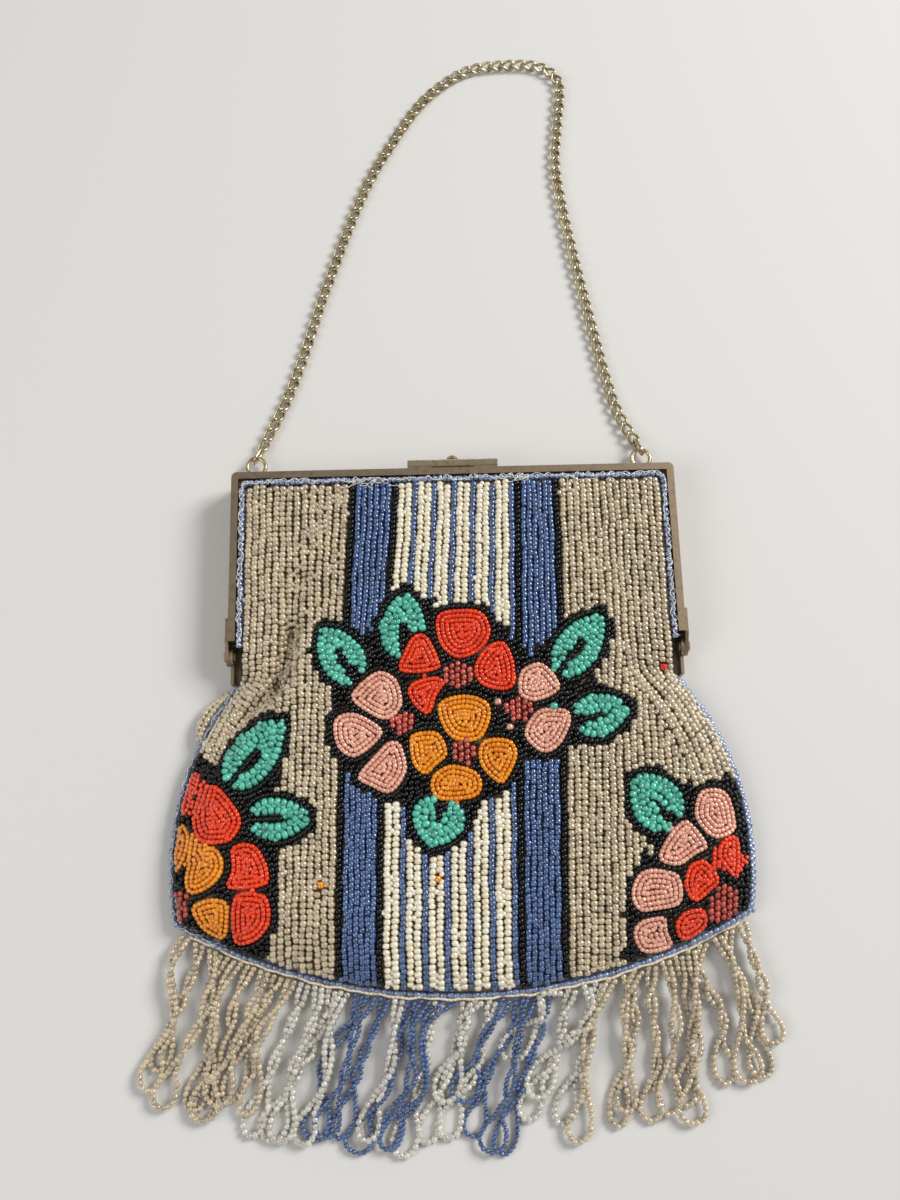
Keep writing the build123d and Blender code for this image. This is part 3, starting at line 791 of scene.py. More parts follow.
# Stripes: the left and right edge of each at three heights, the number of rows and their colour
STRIPE_LEVELS = (39.0, -10.0, -70.0)
BLUE_LEFT = ((-25.1, -27.6, -29.0), (-15.8, -19.6, -21.1))
BLUE_RIGHT = ((17.4, 15.8, 14.3), (25.6, 24.9, 22.8))
BLUE_ROWS = 6
BLACK_WIDTH = 1.7
WHITE_GROUPS = 6
WHITE_SHARES = (0.18, 0.55)
THIN_BLUE_SHARE = 0.87
STRIPE_BEADS = {
    "black": (OUTLINE_BEAD, OUTLINE_LENGTH),
    "blue": (BLUE_BEAD, BLUE_LENGTH),
    "thin_blue": (BLUE_BEAD, BLUE_LENGTH),
    "white": (WHITE_BEAD, SMALL_LENGTH),
}

# Plain fields: the rows that follow the side seam, how far in they start and the most rows inside them
SEAM_INSET = 0.95
FIRST_ROW_INSET = SEAM_INSET + 0.9
SIDE_ROWS = 7
FIELD_ROWS = 26


def at_level(values, y):
    """What a value given at three heights is at a y."""
    return np.interp(y, STRIPE_LEVELS[::-1], values[::-1])


def stripe_rows():
    """Each row between the outer black rows: its colour and how to find its x at a y."""
    rows = []

    def add(colour, left, right, share, shift=0.0):
        rows.append((colour, lambda y: at_level(left, y) * (1 - share) + at_level(right, y) * share + shift))

    for left, right in (BLUE_LEFT, BLUE_RIGHT):
        add("black", left, right, 0.0, -BLACK_WIDTH / 2)
        for row in range(BLUE_ROWS):
            add("blue", left, right, (row + 0.5) / BLUE_ROWS)
        add("black", left, right, 1.0, BLACK_WIDTH / 2)
    left, right = BLUE_LEFT[1], BLUE_RIGHT[0]
    inner_left = tuple(x + BLACK_WIDTH for x in left)
    inner_right = tuple(x - BLACK_WIDTH for x in right)
    for group in range(WHITE_GROUPS):
        for share in WHITE_SHARES:
            add("white", inner_left, inner_right, (group + share) / WHITE_GROUPS)
        add("thin_blue", inner_left, inner_right, (group + THIN_BLUE_SHARE) / WHITE_GROUPS)
    return rows


def lay_row(work, colour, line, width, length):
    """A row of beads along a line, wandering a little, where the cloth is free and no motif is near."""
    shifted = line + (line[0] - line[1]) * random.random()
    places, directions = spaced(shifted, length, closed=False)
    phase = random.random() * 2 * math.pi
    wander = 0.13 * np.sin(places[:, 1] * 0.35 + phase) + 0.07 * np.sin(places[:, 1] * 1.1 + phase * 2)
    places = places + np.stack([wander, np.zeros(len(places))], 1)
    places = places + random.normal(0, 0.07, places.shape)
    fits = on_front(places[:, 0], places[:, 1])
    for loop in work.motifs:
        fits &= ~inside_loop(places, loop) & (gap_to(places, loop) > ROW_TO_MOTIF)
    taken = work.places[:work.count]
    reach = work.clear[:work.count]
    for place, direction, fit in zip(places, directions, fits):
        if not fit:
            continue
        gap = np.hypot(taken[:, 0] - place[0], taken[:, 1] - place[1])
        if (gap - (reach + BEAD_TO_ROW) / 2 >= 0).all():
            work.add(colour, place, direction, width, length)


def row_line(x_of_y):
    """The line of a row from the top of the window to the bottom, from its x at a y."""
    levels = np.arange(WINDOW_TOP, BOTTOM_Y, -1.5)
    return np.stack([np.array([x_of_y(y) for y in levels]), levels], 1)


def lay_background(work):
    """Rows of beads in the stripes, then in the plain fields to both sides."""
    for colour, x_of_y in stripe_rows():
        wide, long = STRIPE_BEADS[colour]
        lay_row(work, "blue" if colour == "thin_blue" else colour, row_line(x_of_y), wide, long)
    for side, edge in ((-1, BLUE_LEFT[0]), (1, BLUE_RIGHT[1])):
        lay_field(work, side, edge)


def lay_field(work, side, edge):
    """A plain field: outer rows follow the side seam, inner rows follow the stripe."""
    for row in range(SIDE_ROWS):
        inset = FIRST_ROW_INSET + row * ROW_PITCH

        def x_of_y(y):
            free = WINDOW_HALF - (inset - SEAM_INSET)
            below = half_width(min(y, NECK_Y)) - inset
            share = changed(y, WINDOW_INTO_SIDE)
            return side * (free * (1 - share) + below * share)

        limit = row_line(x_of_y)
        lay_row(work, "beige", limit, SMALL_BEAD, SMALL_LENGTH)
    limit_at_top = float(limit[0, 0])
    black_edge = at_level(edge, 0.0) + side * BLACK_WIDTH
    rows_beside_window = round((side * (limit_at_top - black_edge) - ROW_PITCH / 2) / ROW_PITCH)

    def pitch_at(y):
        free = side * (limit_at_top - at_level(edge, y)) - BLACK_WIDTH - ROW_PITCH / 2
        share = changed(y, WINDOW_INTO_SIDE)
        return free / rows_beside_window * (1 - share) + ROW_PITCH * share

    for row in range(FIELD_ROWS):
        line = row_line(lambda y: at_level(edge, y) + side * (BLACK_WIDTH + (row + 0.5) * pitch_at(y)))
        reach = np.interp(line[:, 1], limit[::-1, 1], limit[::-1, 0])
        inner = side * (reach - line[:, 0]) > ROW_PITCH * 0.66
        starts = np.flatnonzero(inner)
        if len(starts) > 2:
            lay_row(work, "beige", line[starts[0]:starts[-1] + 1], SMALL_BEAD, SMALL_LENGTH)


BARE_REACH = 1.12
BARE_REACH_AT_EDGES = 1.0
EDGE_WIDTH = 2.6
OUTLINE_WIDTH = 1.8
BARE_GRID = 0.45
MOST_FILLER_WIDTH = 1.45
MOST_FILLER_LENGTH = 1.25
BACKGROUND_COLOURS = ("beige", "white", "blue", "black")


def tree_of(laid):
    """A search tree over beads laid on the front."""
    plan = np.array([bead[:2] for _, bead in laid])
    tree = kdtree.KDTree(len(laid))
    for number, (x, y, z) in enumerate(np.column_stack([plan, front_height(plan[:, 0], plan[:, 1])])):
        tree.insert((x, y, z), number)
    tree.balance()
    return tree


def fill_bare_places(work):
    """A small bead in every bare place: black round the flowers, else of the colour beside it."""
    laid = [(colour, bead) for colour, beads in work.groups.items() for bead in beads]
    ground = [entry for entry in laid if entry[0] in BACKGROUND_COLOURS]
    everything, background = tree_of(laid), tree_of(ground)
    places = grid_places((-WIDEST_HALF, BOTTOM_Y), (WIDEST_HALF, WINDOW_TOP - 0.4), BARE_GRID)
    places = places[on_front(places[:, 0], places[:, 1])]
    motif_gap = np.full(len(places), 1e9)
    in_motif = np.zeros(len(places), bool)
    for loop in work.motifs:
        motif_gap = np.minimum(motif_gap, gap_to(places, loop[::3]))
        in_motif |= inside_loop(places, loop)
    at_edge = (seam_distance(places[:, 0], places[:, 1]) < EDGE_WIDTH) & (places[:, 1] < NECK_Y)
    reaches = np.where(at_edge | (motif_gap < EDGE_WIDTH), BARE_REACH_AT_EDGES, BARE_REACH)
    heights = front_height(places[:, 0], places[:, 1])
    added = np.zeros((0, 2))
    for place, height, reach, gap_to_motif, inner in zip(places, heights, reaches, motif_gap, in_motif):
        spot = (place[0], place[1], height)
        _, number, gap = everything.find(spot)
        if gap < reach or (np.hypot(*(added - place).T) < reach).any():
            continue
        colour, bead = laid[number] if inner else ground[background.find(spot)[1]]
        if not inner and gap_to_motif < OUTLINE_WIDTH + (reach < BARE_REACH) * 0.5:
            colour = "black"
        work.add(colour, place, bead[2:4], min(bead[4], MOST_FILLER_WIDTH), min(bead[5], MOST_FILLER_LENGTH))
        added = np.concatenate([added, [place]])


def raised(beads, lift=0.0):
    """Beads laid on the plan, set on the front's surface with a little unevenness."""
    table = np.array(beads)
    x, y = table[:, 0], table[:, 1]
    normals = front_normal(x, y)
    heights = front_height(x, y) + lift + random.normal(0, 0.05, len(x))
    flat = np.stack([table[:, 2], table[:, 3], np.zeros(len(x))], 1)
    loose = table[:, 4:5] > SMALL_BEAD + 0.2
    tilt = random.normal(0, 1, flat.shape) * np.where(loose, 0.14, 0.07)
    threads = unit(flat - normals * (flat * normals).sum(1)[:, None] + tilt)
    spread = 1 + random.normal(0, 1, len(x)) * np.where(loose[:, 0], 0.06, 0.035)
    return [(np.array([x[i], y[i], heights[i]]), threads[i], normals[i],
             table[i, 4] * spread[i], table[i, 5] * spread[i]) for i in range(len(x))]


CLOSE_COLOURS = ("red", "orange", "pink", "blue")
front = Beadwork()
lay_motifs(front)
lay_background(front)
fill_bare_places(front)
front_pieces = {}
for colour, beads in front.groups.items():
    profile = CLOSE_PROFILE if colour in CLOSE_COLOURS else ROUND_PROFILE
    front_pieces[colour] = bead_piece(f"front_beads_{colour}", raised(beads), GLASS[colour], profile)

# The back lies on the floor: plain stripes, no flowers. Below the left hinge it bulges past the seam
BULGE_ROWS = (0.8, 2.2)
BULGE_TOP = -8.5
BULGE_LOW = -21.5
BULGE_HEIGHT = 2.7
BACK_STRIPE_BEAD = 1.5


def lay_back():
    """The beads of the back, by colour."""
    groups = {}

    def row(colour, line, width):
        places, directions = spaced(line, SMALL_LENGTH * 1.06, closed=False)
        fits = on_front(places[:, 0], places[:, 1], BACK_SEAM_MARGIN)
        for place, direction in zip(places[fits], directions[fits]):
            groups.setdefault(colour, []).append(
                (np.array([place[0], place[1], BACK_BEAD_HEIGHT]),
                 np.array([direction[0], direction[1], 0]), np.array([0, 0, -1.0]), width, SMALL_LENGTH))

    for colour, x_of_y in stripe_rows():
        row("blue" if colour == "thin_blue" else colour, row_line(x_of_y), BACK_STRIPE_BEAD)
    for side, edge in ((-1, BLUE_LEFT[0]), (1, BLUE_RIGHT[1])):
        for number in range(FIELD_ROWS):
            out = BLACK_WIDTH + (number + 0.5) * ROW_PITCH
            row("beige", row_line(lambda y: at_level(edge, y) + side * out), SMALL_BEAD)
    x, y = SEAM_LINE.T
    bulge = SEAM_LINE[(x < 0) & (y < BULGE_TOP) & (y > BULGE_LOW)]
    swell = np.sin(np.linspace(0, math.pi, len(bulge))) ** 0.7
    for number, reach in enumerate(BULGE_ROWS):
        line = np.column_stack([bulge[:, 0] - 0.9 - reach * swell, bulge[:, 1] + 0.4 * reach * swell,
                                np.full(len(bulge), BULGE_HEIGHT - 0.3 * number)])
        places, directions = spaced(line, SMALL_LENGTH, closed=False)
        for place, direction in zip(places, directions):
            groups["beige"].append((place, direction, np.array([0, 0, 1.0]), SMALL_BEAD, SMALL_LENGTH))
    return groups


back_pieces = {}
for colour, beads in lay_back().items():
    back_pieces[colour] = bead_piece(f"back_beads_{colour}", beads, GLASS[colour], PLAIN_PROFILE)

# Ground cloth and lining


def cloth_piece(name, height_of, low_edge, material, inset, top=WINDOW_TOP, columns=72, rows=66):
    """A thin sheet of cloth over the front or the back, closed all round."""
    points = []
    for row in range(rows + 1):
        for column in range(columns + 1):
            across = column / columns * 2 - 1
            down = row / rows
            lowest = float(bottom_y(across * CORNER_HALF)) + inset
            y = top - down * (top - lowest)
            half = WINDOW_HALF if y > 0 else float(half_width(min(y, NECK_Y))) - inset
            if NECK_Y < y <= 0:
                share = y / NECK_Y
                half = WINDOW_HALF * (1 - share) + (NECK_HALF - inset) * share
            points.append((across * half, y))
    plan = np.array(points)
    upper = np.column_stack([plan, height_of(plan[:, 0], plan[:, 1])])
    lower = upper - np.array([0, 0, CLOTH_THICKNESS])
    lower[:, 2] = np.maximum(lower[:, 2], low_edge)
    stride = columns + 1
    ahead = []
    for row in range(rows):
        for column in range(columns):
            corner = row * stride + column
            ahead.append([corner, corner + stride, corner + stride + 1, corner + 1])
    ahead = np.array(ahead)
    total = len(plan)
    under = ahead[:, ::-1] + total
    rim = [row * stride for row in range(rows)] + [rows * stride + column for column in range(columns)]
    rim += [row * stride + columns for row in range(rows, 0, -1)] + list(range(columns, 0, -1))
    rim = np.array(rim)
    after = np.roll(rim, -1)
    walls = np.stack([after, rim, rim + total, after + total], 1)
    piece = mesh_of(name, np.concatenate([upper, lower]), [ahead, under, walls])
    piece.data.materials.append(material)
    return piece


FRONT_LOWEST = 1.0
BACK_LOWEST = 0.9
CLOTH_INSET = 0.9
LINING_INSET = 2.4
LINING_TOP = WINDOW_TOP - 1
BACK_CLOTH_HEIGHT = 1.75
BACK_LINING_HEIGHT = 2.4


def cloth_height(x, y):
    return front_height(x, y) - CLOTH_BELOW_BEADS + 0.1


def lining_height(x, y):
    return front_height(x, y) - CLOTH_BELOW_BEADS - LINING_BELOW_CLOTH


def back_cloth_height(x, y):
    return np.full_like(x, BACK_CLOTH_HEIGHT)


def back_lining_height(x, y):
    return np.full_like(x, BACK_LINING_HEIGHT)


front_cloth = cloth_piece("front_cloth", cloth_height, FRONT_LOWEST, GROUND_CLOTH, CLOTH_INSET)
front_lining = cloth_piece("front_lining", lining_height, FRONT_LOWEST, LINING_CLOTH,
                           LINING_INSET, LINING_TOP)
back_cloth = cloth_piece("back_cloth", back_cloth_height, BACK_LOWEST, GROUND_CLOTH, CLOTH_INSET)
back_lining = cloth_piece("back_lining", back_lining_height, BACK_LOWEST, LINING_CLOTH,
                          LINING_INSET, LINING_TOP)

# Edging beads over the seam and round the frame's windows


def line_of_beads(line, width, length, pitch):
    """Beads strung along a line, each a little out of place."""
    places, directions = spaced(line, pitch, closed=False)
    beads = []
    for place, direction in zip(places, directions):
        shifted = place + random.normal(0, 0.07, 3)
        turned = direction + random.normal(0, 0.1, 3)
        beads.append((shifted, turned, np.array([0, 0, 1.0]), width, length))
    return beads


SECOND_ROW_RIGHT_OF = 52
SECOND_ROW_ABOVE = -72
SECOND_ROW_INSET = 0.8
SECOND_ROW_LIFT = 1.2


def seam_beads():
    """One row of beads over the seam, and a second above it on the right side."""
    plan = SEAM_LINE
    low = np.column_stack([plan, np.full(len(plan), SEAM_HEIGHT)])
    inner = plan - np.sign(plan) * np.array([[SECOND_ROW_INSET, 0.0]])
    high = np.column_stack([inner, np.full(len(plan), SEAM_HEIGHT + SECOND_ROW_LIFT)])
    right_side = (plan[:, 0] > SECOND_ROW_RIGHT_OF) & (plan[:, 1] > SECOND_ROW_ABOVE)
    beads = line_of_beads(low, 1.5, 1.55, 1.56)
    beads += line_of_beads(high[right_side], 1.45, 1.5, 1.52)
    return beads


def window_line(height, inset, half, top):
    """The line of the edging beads round three sides of the frame's window, a little uneven."""
    half, top = half - inset, top - inset
    left = [(-half, 1.0), (-half, top - 1), (-half + 1, top)]
    right = [(half - 1, top), (half, top - 1), (half, 1.0)]
    fine = spaced(np.array(left + right), 0.5, closed=False)[0]
    wave = 0.16 * np.sin(fine[:, 0] * 0.7 + fine[:, 1] * 0.5)
    wave = wave + 0.1 * np.sin(fine[:, 0] * 1.9 - fine[:, 1] * 1.3)
    return np.column_stack([fine + wave[:, None] * 0.6, np.full(len(fine), height)])


EDGING_INSET = 2.65
FRONT_WINDOW_LINE = window_line(8.9, EDGING_INSET, 57.2, 47.7)
BACK_WINDOW_LINE = window_line(0.9, EDGING_INSET, 57.1, 47.6)
seam_edging = bead_piece("seam_edging_beads", seam_beads(), GLASS["edging"])
front_row = line_of_beads(FRONT_WINDOW_LINE, 1.85, 1.3, 1.32)
front_edging = bead_piece("front_edging_beads", front_row, GLASS["edging"])
back_row = line_of_beads(BACK_WINDOW_LINE, 1.6, 1.3, 1.35)
back_edging = bead_piece("back_edging_beads", back_row, GLASS["edging"], PLAIN_PROFILE)


def tubes(name, lines, radius, material, around=8, closed=False):
    """Round wire or thread along lines, as one mesh."""
    points, sides, ends = [], [], []
    total = 0
    for line in lines:
        count = len(line)
        if closed:
            ahead = unit(np.roll(line, -1, 0) - np.roll(line, 1, 0))
            middle = line.mean(0)
            out = unit(line - middle - ahead * ((line - middle) * ahead).sum(1)[:, None])
        else:
            ahead = unit(np.gradient(line, axis=0))
            out = unit(np.cross(ahead, np.array([0.21, 0.13, 0.97])))
        side = np.cross(ahead, out)
        for angle in 2 * math.pi * np.arange(around) / around:
            points.append(line + radius * (out * math.cos(angle) + side * math.sin(angle)))
        for turn in range(around):
            beside = (turn + 1) % around
            for stop in range(count if closed else count - 1):
                after = (stop + 1) % count
                sides.append([total + turn * count + stop, total + beside * count + stop,
                              total + beside * count + after, total + turn * count + after])
        if not closed:
            ends.append([total + turn * count for turn in range(around)][::-1])
            ends.append([total + turn * count + count - 1 for turn in range(around)])
        total += around * count
    faces = [np.array(sides)] + ([np.array(ends)] if ends else [])
    piece = mesh_of(name, np.concatenate(points), faces)
    piece.data.materials.append(material)
    return piece


def whip_stitches(line, pitch, reach, lift):
    """A thread that wanders from side to side over the beads of an edging."""
    places, directions = spaced(line, pitch, closed=False)
    sideways = np.stack([-directions[:, 1], directions[:, 0], np.zeros(len(places))], 1)
    swing = reach * np.clip(random.normal(0, 1, len(places)), -1.3, 1.3)
    crossing = places + sideways * swing[:, None]
    crossing[:, 2] += lift + random.normal(0, 0.05, len(places))
    return smooth_through(crossing, 3)


# Places where the sewing thread has frayed: two pixels and how many ends
FRAYS = [
    ((352, 483), (402, 484), 12),
    ((498, 476), (532, 478), 9),
    ((262, 478), (300, 477), 4),
    ((560, 477), (650, 482), 6),
]
THREAD_RADIUS = 0.09


def frayed_ends():
    """Loose ends of thread that curl over the top edging."""
    lines = []
    for start, end, count in FRAYS:
        for share in random.random(count):
            pixel = (start[0] + (end[0] - start[0]) * share, start[1] + (end[1] - start[1]) * share)
            walk = [np.append(from_photo(pixel, FLOWER_HEIGHT), 9.75)]
            heading = random.random() * 2 * math.pi
            for _ in range(4):
                heading += random.normal(0, 0.9)
                step = np.array([math.cos(heading), 0.55 * math.sin(heading), random.normal(0, 0.12)])
                following = walk[-1] + step * (0.7 + 0.5 * random.random())
                walk.append(np.array([following[0], min(following[1], 46.0), max(following[2], 9.6)]))
            lines.append(smooth_through(walk, 5))
    return lines


front_threads = [whip_stitches(FRONT_WINDOW_LINE, 1.1, 0.5, 0.86)]
front_threads.append(whip_stitches(FRONT_WINDOW_LINE, 0.83, 0.6, 0.8))
front_threads += frayed_ends()
front_stitches = tubes("front_edging_thread", front_threads, THREAD_RADIUS, THREAD, 5)
SEAM_RAISED = np.column_stack([SEAM_LINE, np.full(len(SEAM_LINE), SEAM_HEIGHT)])
left_seam = SEAM_RAISED[SEAM_LINE[:, 1] > -70][:70]
seam_stitches = tubes("seam_thread", [whip_stitches(left_seam, 1.3, 0.4, 0.75)], THREAD_RADIUS, THREAD, 5)


def seam_cord_line():
    """A cream cord that shows under the edging along the bottom."""
    x = np.linspace(-66, 66, 180)
    drop = 0.85 + 0.25 * np.sin(x * 0.5) * np.sin(x * 0.13) + 0.12 * np.sin(x * 1.3)
    return np.column_stack([x, bottom_y(x) - drop, np.full(len(x), SEAM_HEIGHT + 0.1)])


SEAM_CORD_RADIUS = 0.33
seam_cord = tubes("seam_cord", [seam_cord_line()], SEAM_CORD_RADIUS, CREAM_CORD)

# The fringe: strands that run out from the seam, turn in a loop and come back

# How far the strands slant, across the bag
FAN_PLACES = (-69, -50, -15, 25, 37, 69)
FAN_SHIFTS = (-6.0, -11.0, -13.0, -11.0, -5.0, 6.0)

# Ends of the loops that show well in the photograph, and each one's colour
FRINGE_ENDS = [
    ("beige", (143, 1091)), ("beige", (160, 1108)), ("beige", (179, 1108)), ("beige", (200, 1121)),
    ("beige", (213, 1104)), ("beige", (244, 1115)), ("clear", (278, 1141)), ("blue", (322, 1137)),
    ("clear", (333, 1121)), ("clear", (365, 1141)), ("blue", (385, 1149)), ("clear", (408, 1125)),
    ("clear", (441, 1101)), ("blue", (459, 1101)), ("blue", (474, 1104)), ("blue", (489, 1152)),
    ("clear", (505, 1058)), ("clear", (533, 1096)), ("clear", (558, 1084)), ("beige", (576, 1142)),
    ("beige", (645, 1132)), ("beige", (693, 1126)), ("beige", (752, 1082)), ("beige", (776, 1043)),
]
FRINGE_STRANDS = 43
FRINGE_SIZES = {"beige": (1.5, 1.3), "clear": (1.62, 1.4), "blue": (1.26, 1.14)}
FRINGE_LOW = 1.5
FRINGE_HIGH = 2.75
LOOP_LOW = 0.85
LOOP_HIGH = 1.6
LOOP_WIDTH = 4.6
LOOP_LENGTH = 8.4
LOOP_FULLNESS = 0.77
LEG_SPREAD = 0.82
LEG_RISE = 0.55
HALF_TURNS = (2, 3, 3, 4)


def fringe_colour(x):
    """What colour a strand is, by where it hangs, where no end in the photograph says so."""
    if x < -44 or x > 32:
        return "beige"
    if x < -26:
        return "clear"
    return "blue" if random.random() < 0.6 else "clear"


def strand(root, end, layer, half_turns):
    """One looped strand: out along one leg, round its loop and back, the two legs twisted together."""
    root, end = np.array(root, float), np.array(end, float)
    run = end - root
    length = np.hypot(*run)
    along = run / length
    aside = np.array([-along[1], along[0]])
    bow, sway = random.normal(0, 1.5), random.normal(0, 1.0)
    width = LOOP_WIDTH * (0.7 + 0.5 * random.random())
    loop_long = LOOP_LENGTH * (0.85 + 0.35 * random.random())
    straight = length - loop_long
    height = FRINGE_LOW + (FRINGE_HIGH - FRINGE_LOW) * layer
    tip = LOOP_LOW + (LOOP_HIGH - LOOP_LOW) * layer
    shares = np.linspace(0, 1, 80)
    middle = bow * np.sin(shares * math.pi) + sway * np.sin(shares * 2 * math.pi)
    turn = np.clip((shares - 0.1) / 0.9, 0, 1) * half_turns * math.pi
    spread = LEG_SPREAD * (1 + 0.4 * np.sin(shares * 7 + random.random() * 6) * np.sin(shares * math.pi))
    start_lift = (SEAM_HEIGHT - 0.6 - height) * np.clip(1 - shares * 6, 0, 1)
    settle = (tip - height) * np.clip((shares - 0.8) / 0.2, 0, 1)
    legs = []
    for side in (1, -1):
        across = middle + side * spread * np.cos(turn)
        plan = root + np.outer(shares * straight, along) + np.outer(across, aside)
        legs.append(np.column_stack([plan, height + start_lift + settle + side * LEG_RISE * np.sin(turn)]))
    crossed = -1 if half_turns % 2 else 1
    angles = np.linspace(0, 2 * math.pi, 44)[1:-1]
    out = straight + (1 - np.cos(angles)) / 2 * loop_long
    swell = width / 2 * np.sin(angles) * np.sin(angles / 2) / LOOP_FULLNESS
    across = crossed * (LEG_SPREAD * np.cos(angles / 2) + swell)
    loop = np.column_stack([root + np.outer(out, along) + np.outer(across, aside), np.full(len(out), tip)])
    return np.concatenate([legs[0], loop, legs[1][::-1]])


def fringe_beads():
    """The beads of all strands, by colour. None lies under the floor."""
    groups = {}
    ends = [(colour, from_photo(pixel, 1.5)) for colour, pixel in FRINGE_ENDS]
    known_x = np.array([end[0] for _, end in ends])
    for number in range(FRINGE_STRANDS):
        share = (number + 0.5) / FRINGE_STRANDS
        root_x = (share * 2 - 1) * (CORNER_HALF - 1.0)
        root = (root_x, float(bottom_y(root_x)) - 1.4)
        fan = np.interp(root_x, FAN_PLACES, FAN_SHIFTS)
        reach = 30.0 + random.normal(0, 3.2) + 4.0 * math.cos(root_x / 69 * math.pi / 2)
        end = np.array([root_x + fan + random.normal(0, 1.8), root[1] - reach])
        colour = fringe_colour(root_x)
        nearest = int(np.argmin(np.abs(known_x - end[0])))
        if number % 2 == 0 and abs(known_x[nearest] - end[0]) < 4.0:
            colour, end = ends[nearest]
        end = np.array([np.clip(end[0], -75.0, 73.0), max(end[1], -118.0 + 0.0022 * end[0] ** 2)])
        layer = 1.0 if number % 2 == 0 else 0.0
        line = strand(root, end, layer, HALF_TURNS[number % len(HALF_TURNS)])
        wide, pitch = FRINGE_SIZES[colour]
        places, directions = spaced(line, pitch, closed=False)
        places = places + random.normal(0, 0.05, places.shape)
        places[:, 2] = np.maximum(places[:, 2], wide / 2 + 0.04)
        for place, direction in zip(places, directions):
            turned = direction + random.normal(0, 0.08, 3)
            groups.setdefault(colour, []).append((place, turned, np.array([0, 0, 1.0]), wide, pitch * 0.97))
    return groups


fringe_pieces = {}
for colour, beads in fringe_beads().items():
    fringe_pieces[colour] = bead_piece(f"fringe_beads_{colour}", beads, GLASS[colour])

# Chain and rings of round wire, where the plain ones are
LINK_PITCH = 3.2
LINK_WIDTH = 3.2
LINK_WIRE = 0.8
LINK_TWIST = math.radians(62)
LINK_SQUARENESS = 0.8
CHAIN_HEIGHT = 1.2
EYELET_PLACES = (-52.0, 50.3)
EYELET_RADIUS = 2.4
EYELET_WIRE = 1.0
EYELET_Y = 51.9
EYELET_HEIGHT = 2.45
RING_TILT = math.radians(18)
RING_BEND = 1.3
RING_STRAIGHT = 2.2
RING_WIRE = 0.8
CHAIN_ROUTE = [
    (-42.7, 75.7),
    (-33.0, 106.9),
    (-23.1, 134.9),
    (-14.3, 151.8),
    (-5.0, 165.5),
    (7.0, 174.6),
    (20.5, 176.6),
    (29.6, 175.2),
    (34.2, 169.5),
    (33.2, 157.0),
    (31.9, 143.0),
    (33.6, 125.8),
    (38.5, 96.9),
    (44.1, 69.1),
]


def ring_axes(x, towards):
    """Where a connector ring sits in its eyelet: its hub, the way it points and its other axis."""
    hub = np.array([x, EYELET_Y + EYELET_RADIUS, EYELET_HEIGHT])
    heading = unit(np.array([towards[0] - x, towards[1] - hub[1], 0.0]))
    along = heading * math.cos(RING_TILT) - np.array([0, 0, math.sin(RING_TILT)])
    across = np.cross(np.cross(heading, [0, 0, 1.0]), along)
    return hub, along, across


def ring_loop(x, towards):
    """The middle line of a connector ring's wire, drawn out towards the chain."""
    hub, along, across = ring_axes(x, towards)
    line = []
    for angle in np.linspace(0, 2 * math.pi, 36, endpoint=False):
        reach = RING_BEND * math.cos(angle) + (RING_STRAIGHT if math.cos(angle) > 0 else 0)
        line.append(hub + along * reach + across * RING_BEND * math.sin(angle))
    return np.array(line)


def eyelet_loop(x):
    """The middle line of an eyelet's wire."""
    angles = np.linspace(0, 2 * math.pi, 36, endpoint=False)
    return np.stack([x + EYELET_RADIUS * np.cos(angles), EYELET_Y + EYELET_RADIUS * np.sin(angles),
                     np.full(36, EYELET_HEIGHT)], 1)


def squared(share):
    """A sine or cosine that makes an oval with fuller corners."""
    return np.sign(share) * abs(share) ** LINK_SQUARENESS


def chain_loops():
    """Each link of the curb chain: an oval of wire, twisted so that it lies flat in its neighbours."""
    left, left_along = ring_axes(EYELET_PLACES[0], CHAIN_ROUTE[0])[:2]
    right, right_along = ring_axes(EYELET_PLACES[1], CHAIN_ROUTE[-1])[:2]
    start = left + left_along * RING_STRAIGHT
    end = right + right_along * RING_STRAIGHT
    route = smooth_through([start] + [(x, y, CHAIN_HEIGHT) for x, y in CHAIN_ROUTE] + [end])
    half = (LINK_PITCH + LINK_WIRE + 0.1) / 2
    walked = lengths_along(route)
    span = walked[-1] - 2 * half
    gaps = round(span / LINK_PITCH)
    loops = []
    for number in range(gaps + 1):
        at = half + span * number / gaps
        place = places_at(at, walked, route)
        along = unit(places_at(at + 0.8, walked, route) - places_at(at - 0.8, walked, route))
        upright = unit(np.array([0, 0, 1.0]) - along * along[2])
        sideways = np.cross(upright, along)
        line = []
        for angle in np.linspace(0, 2 * math.pi, 28, endpoint=False):
            reach = half * squared(math.cos(angle))
            wide = (LINK_WIDTH - LINK_WIRE) / 2 * squared(math.sin(angle))
            turn = LINK_TWIST * reach / half
            aside = sideways * wide * math.cos(turn) + upright * wide * math.sin(turn)
            line.append(place + along * reach + aside)
        loops.append(np.array(line))
    return loops


chain = tubes("curb_chain", chain_loops(), LINK_WIRE / 2, CHAIN_METAL, closed=True)
left_loop = ring_loop(EYELET_PLACES[0], CHAIN_ROUTE[0])
right_loop = ring_loop(EYELET_PLACES[1], CHAIN_ROUTE[-1])
ring_left = tubes("ring_left", [left_loop], RING_WIRE / 2, CHAIN_METAL, 12, closed=True)
ring_right = tubes("ring_right", [right_loop], RING_WIRE / 2, CHAIN_METAL, 12, closed=True)
eyelets = {}
for side_name, place_x in zip(("left", "right"), EYELET_PLACES):
    piece_name = f"eyelet_wire_{side_name}"
    loops = [eyelet_loop(place_x)]
    eyelets[side_name] = tubes(piece_name, loops, EYELET_WIRE / 2, CHAIN_METAL, 12, closed=True)

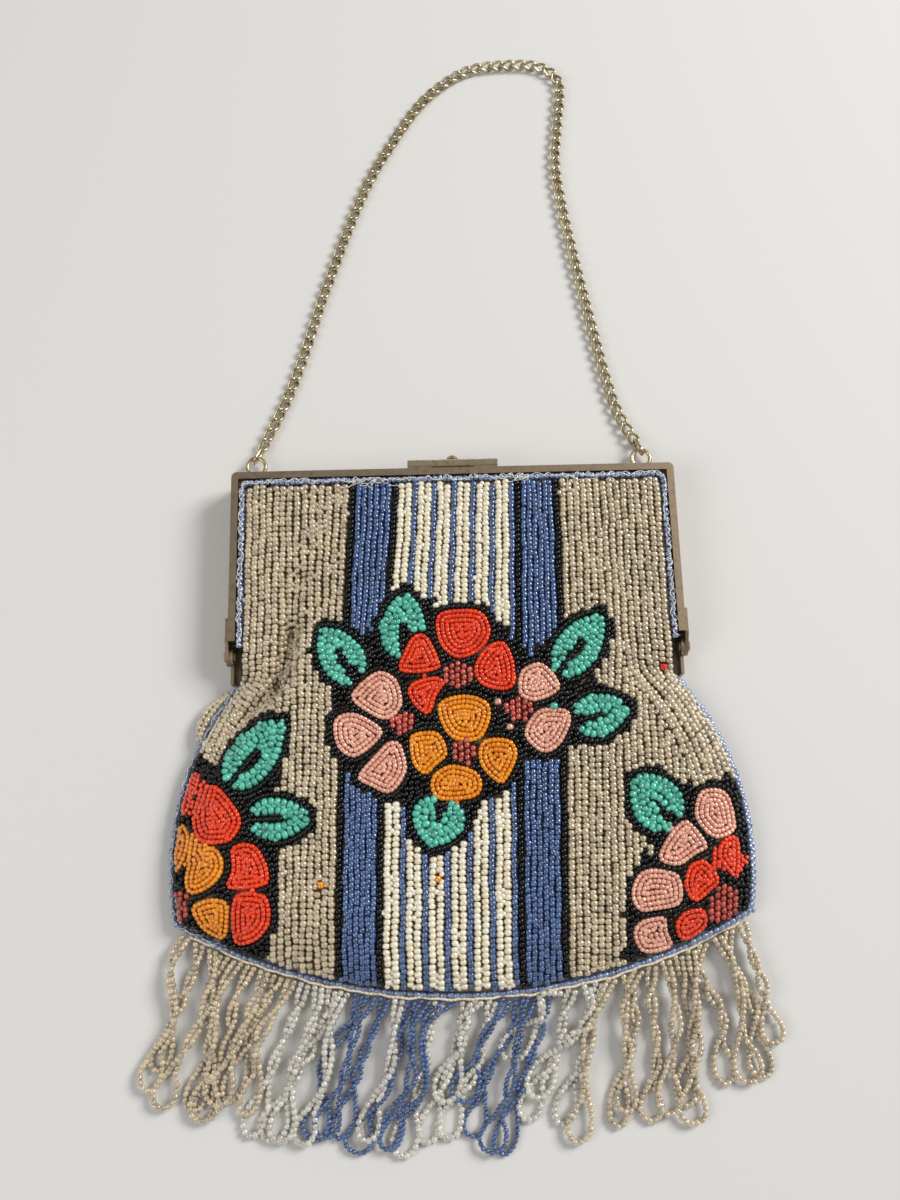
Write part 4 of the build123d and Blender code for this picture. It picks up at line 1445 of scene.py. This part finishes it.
# Finishes of the metal nodes of the model
METAL_NODES = {
    "back_frame_half": FRAME_METAL,
    "front_frame_half": FRAME_METAL,
    "hinge_rivet_left": FRAME_METAL,
    "hinge_rivet_right": FRAME_METAL,
    "catch_nub": FRAME_METAL,
    "clasp_barrel_left": CLASP_METAL,
    "clasp_barrel_right": CLASP_METAL,
    "latch_pin": CLASP_METAL,
    "latch_plate": CLASP_METAL,
    "latch_knob": CLASP_METAL,
    "eyelet_left": FRAME_METAL,
    "eyelet_right": FRAME_METAL,
}
for node_name, metal in METAL_NODES.items():
    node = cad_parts[node_name]
    node.data.materials.clear()
    node.data.materials.append(metal)
    edges = node.modifiers.new("worn_edges", "BEVEL")
    edges.width = 0.12 * MM
    edges.segments = 2
    edges.limit_method = "ANGLE"

# What each piece rides on, and the parts of the model hidden in their place
for piece in [front_cloth, front_lining] + list(front_pieces.values()):
    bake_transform(piece)
for piece in [back_cloth, back_lining, seam_edging, back_edging] + list(back_pieces.values()):
    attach(piece, "root")
for piece in fringe_pieces.values():
    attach(piece, "root")
for piece in (front_edging, front_stitches):
    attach(piece, "front_half")
for piece in [seam_stitches, seam_cord] + list(eyelets.values()):
    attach(piece, "root")
for piece in (chain, ring_left, ring_right):
    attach(piece, "handle")
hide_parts("front_panel_upper", "front_panel_lower")
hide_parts("lining_front_upper", "lining_front_lower")
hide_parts("back_panel")
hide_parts("lining_back")
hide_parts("seam_edging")
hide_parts("frame_edging_front")
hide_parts("frame_edging_back")
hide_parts("chain_links")
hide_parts("connector_ring_left")
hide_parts("connector_ring_right")
for piece in fringe_pieces.values():
    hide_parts("fringe")

# Floor, light and camera


FLOOR_HALF = 1500.0
FLOOR_CORNERS = FLOOR_HALF * np.array([(-1, -1, 0), (1, -1, 0), (1, 1, 0), (-1, 1, 0)])
floor = mesh_of("floor", FLOOR_CORNERS, [np.array([[0, 1, 2, 3]])], smooth=False)
floor.data.materials.append(plain_finish("floor_pale", srgb(220, 218, 214)))


def area_light(name, place, target, size, power):
    """A soft lamp that looks at a target."""
    light = bpy.data.lights.new(name, "AREA")
    light.shape = "RECTANGLE"
    light.size, light.size_y = size
    light.energy = power
    lamp = bpy.data.objects.new(name, light)
    lamp.location = place
    lamp.rotation_euler = (Vector(target) - Vector(place)).to_track_quat("-Z", "Y").to_euler()
    bpy.context.scene.collection.objects.link(lamp)


area_light("key", (0.92, 0.5, 0.8), (0, 0.02, 0), (0.5, 0.5), 15.0)
area_light("fill", (-0.5, -0.2, 0.5), (0, 0.02, 0), (0.4, 0.4), 1.5)
world = bpy.data.worlds.new("studio")
world.use_nodes = True
world.node_tree.nodes["Background"].inputs["Color"].default_value = (1, 1, 1, 1)
world.node_tree.nodes["Background"].inputs["Strength"].default_value = 0.34
bpy.context.scene.world = world

lens = bpy.data.cameras.new("camera")
lens.sensor_fit = "VERTICAL"
lens.sensor_height = SENSOR
lens.lens = FOCAL_PIXELS / PHOTO_HEIGHT * SENSOR
lens.clip_start = 0.01
viewer = bpy.data.objects.new("camera", lens)
viewer.location = CAMERA_PLACE * MM
viewer.rotation_euler = (CAMERA_TILT, 0, CAMERA_TURN)
bpy.context.scene.collection.objects.link(viewer)
bpy.context.scene.camera = viewer
bpy.context.scene.view_settings.view_transform = "Standard"
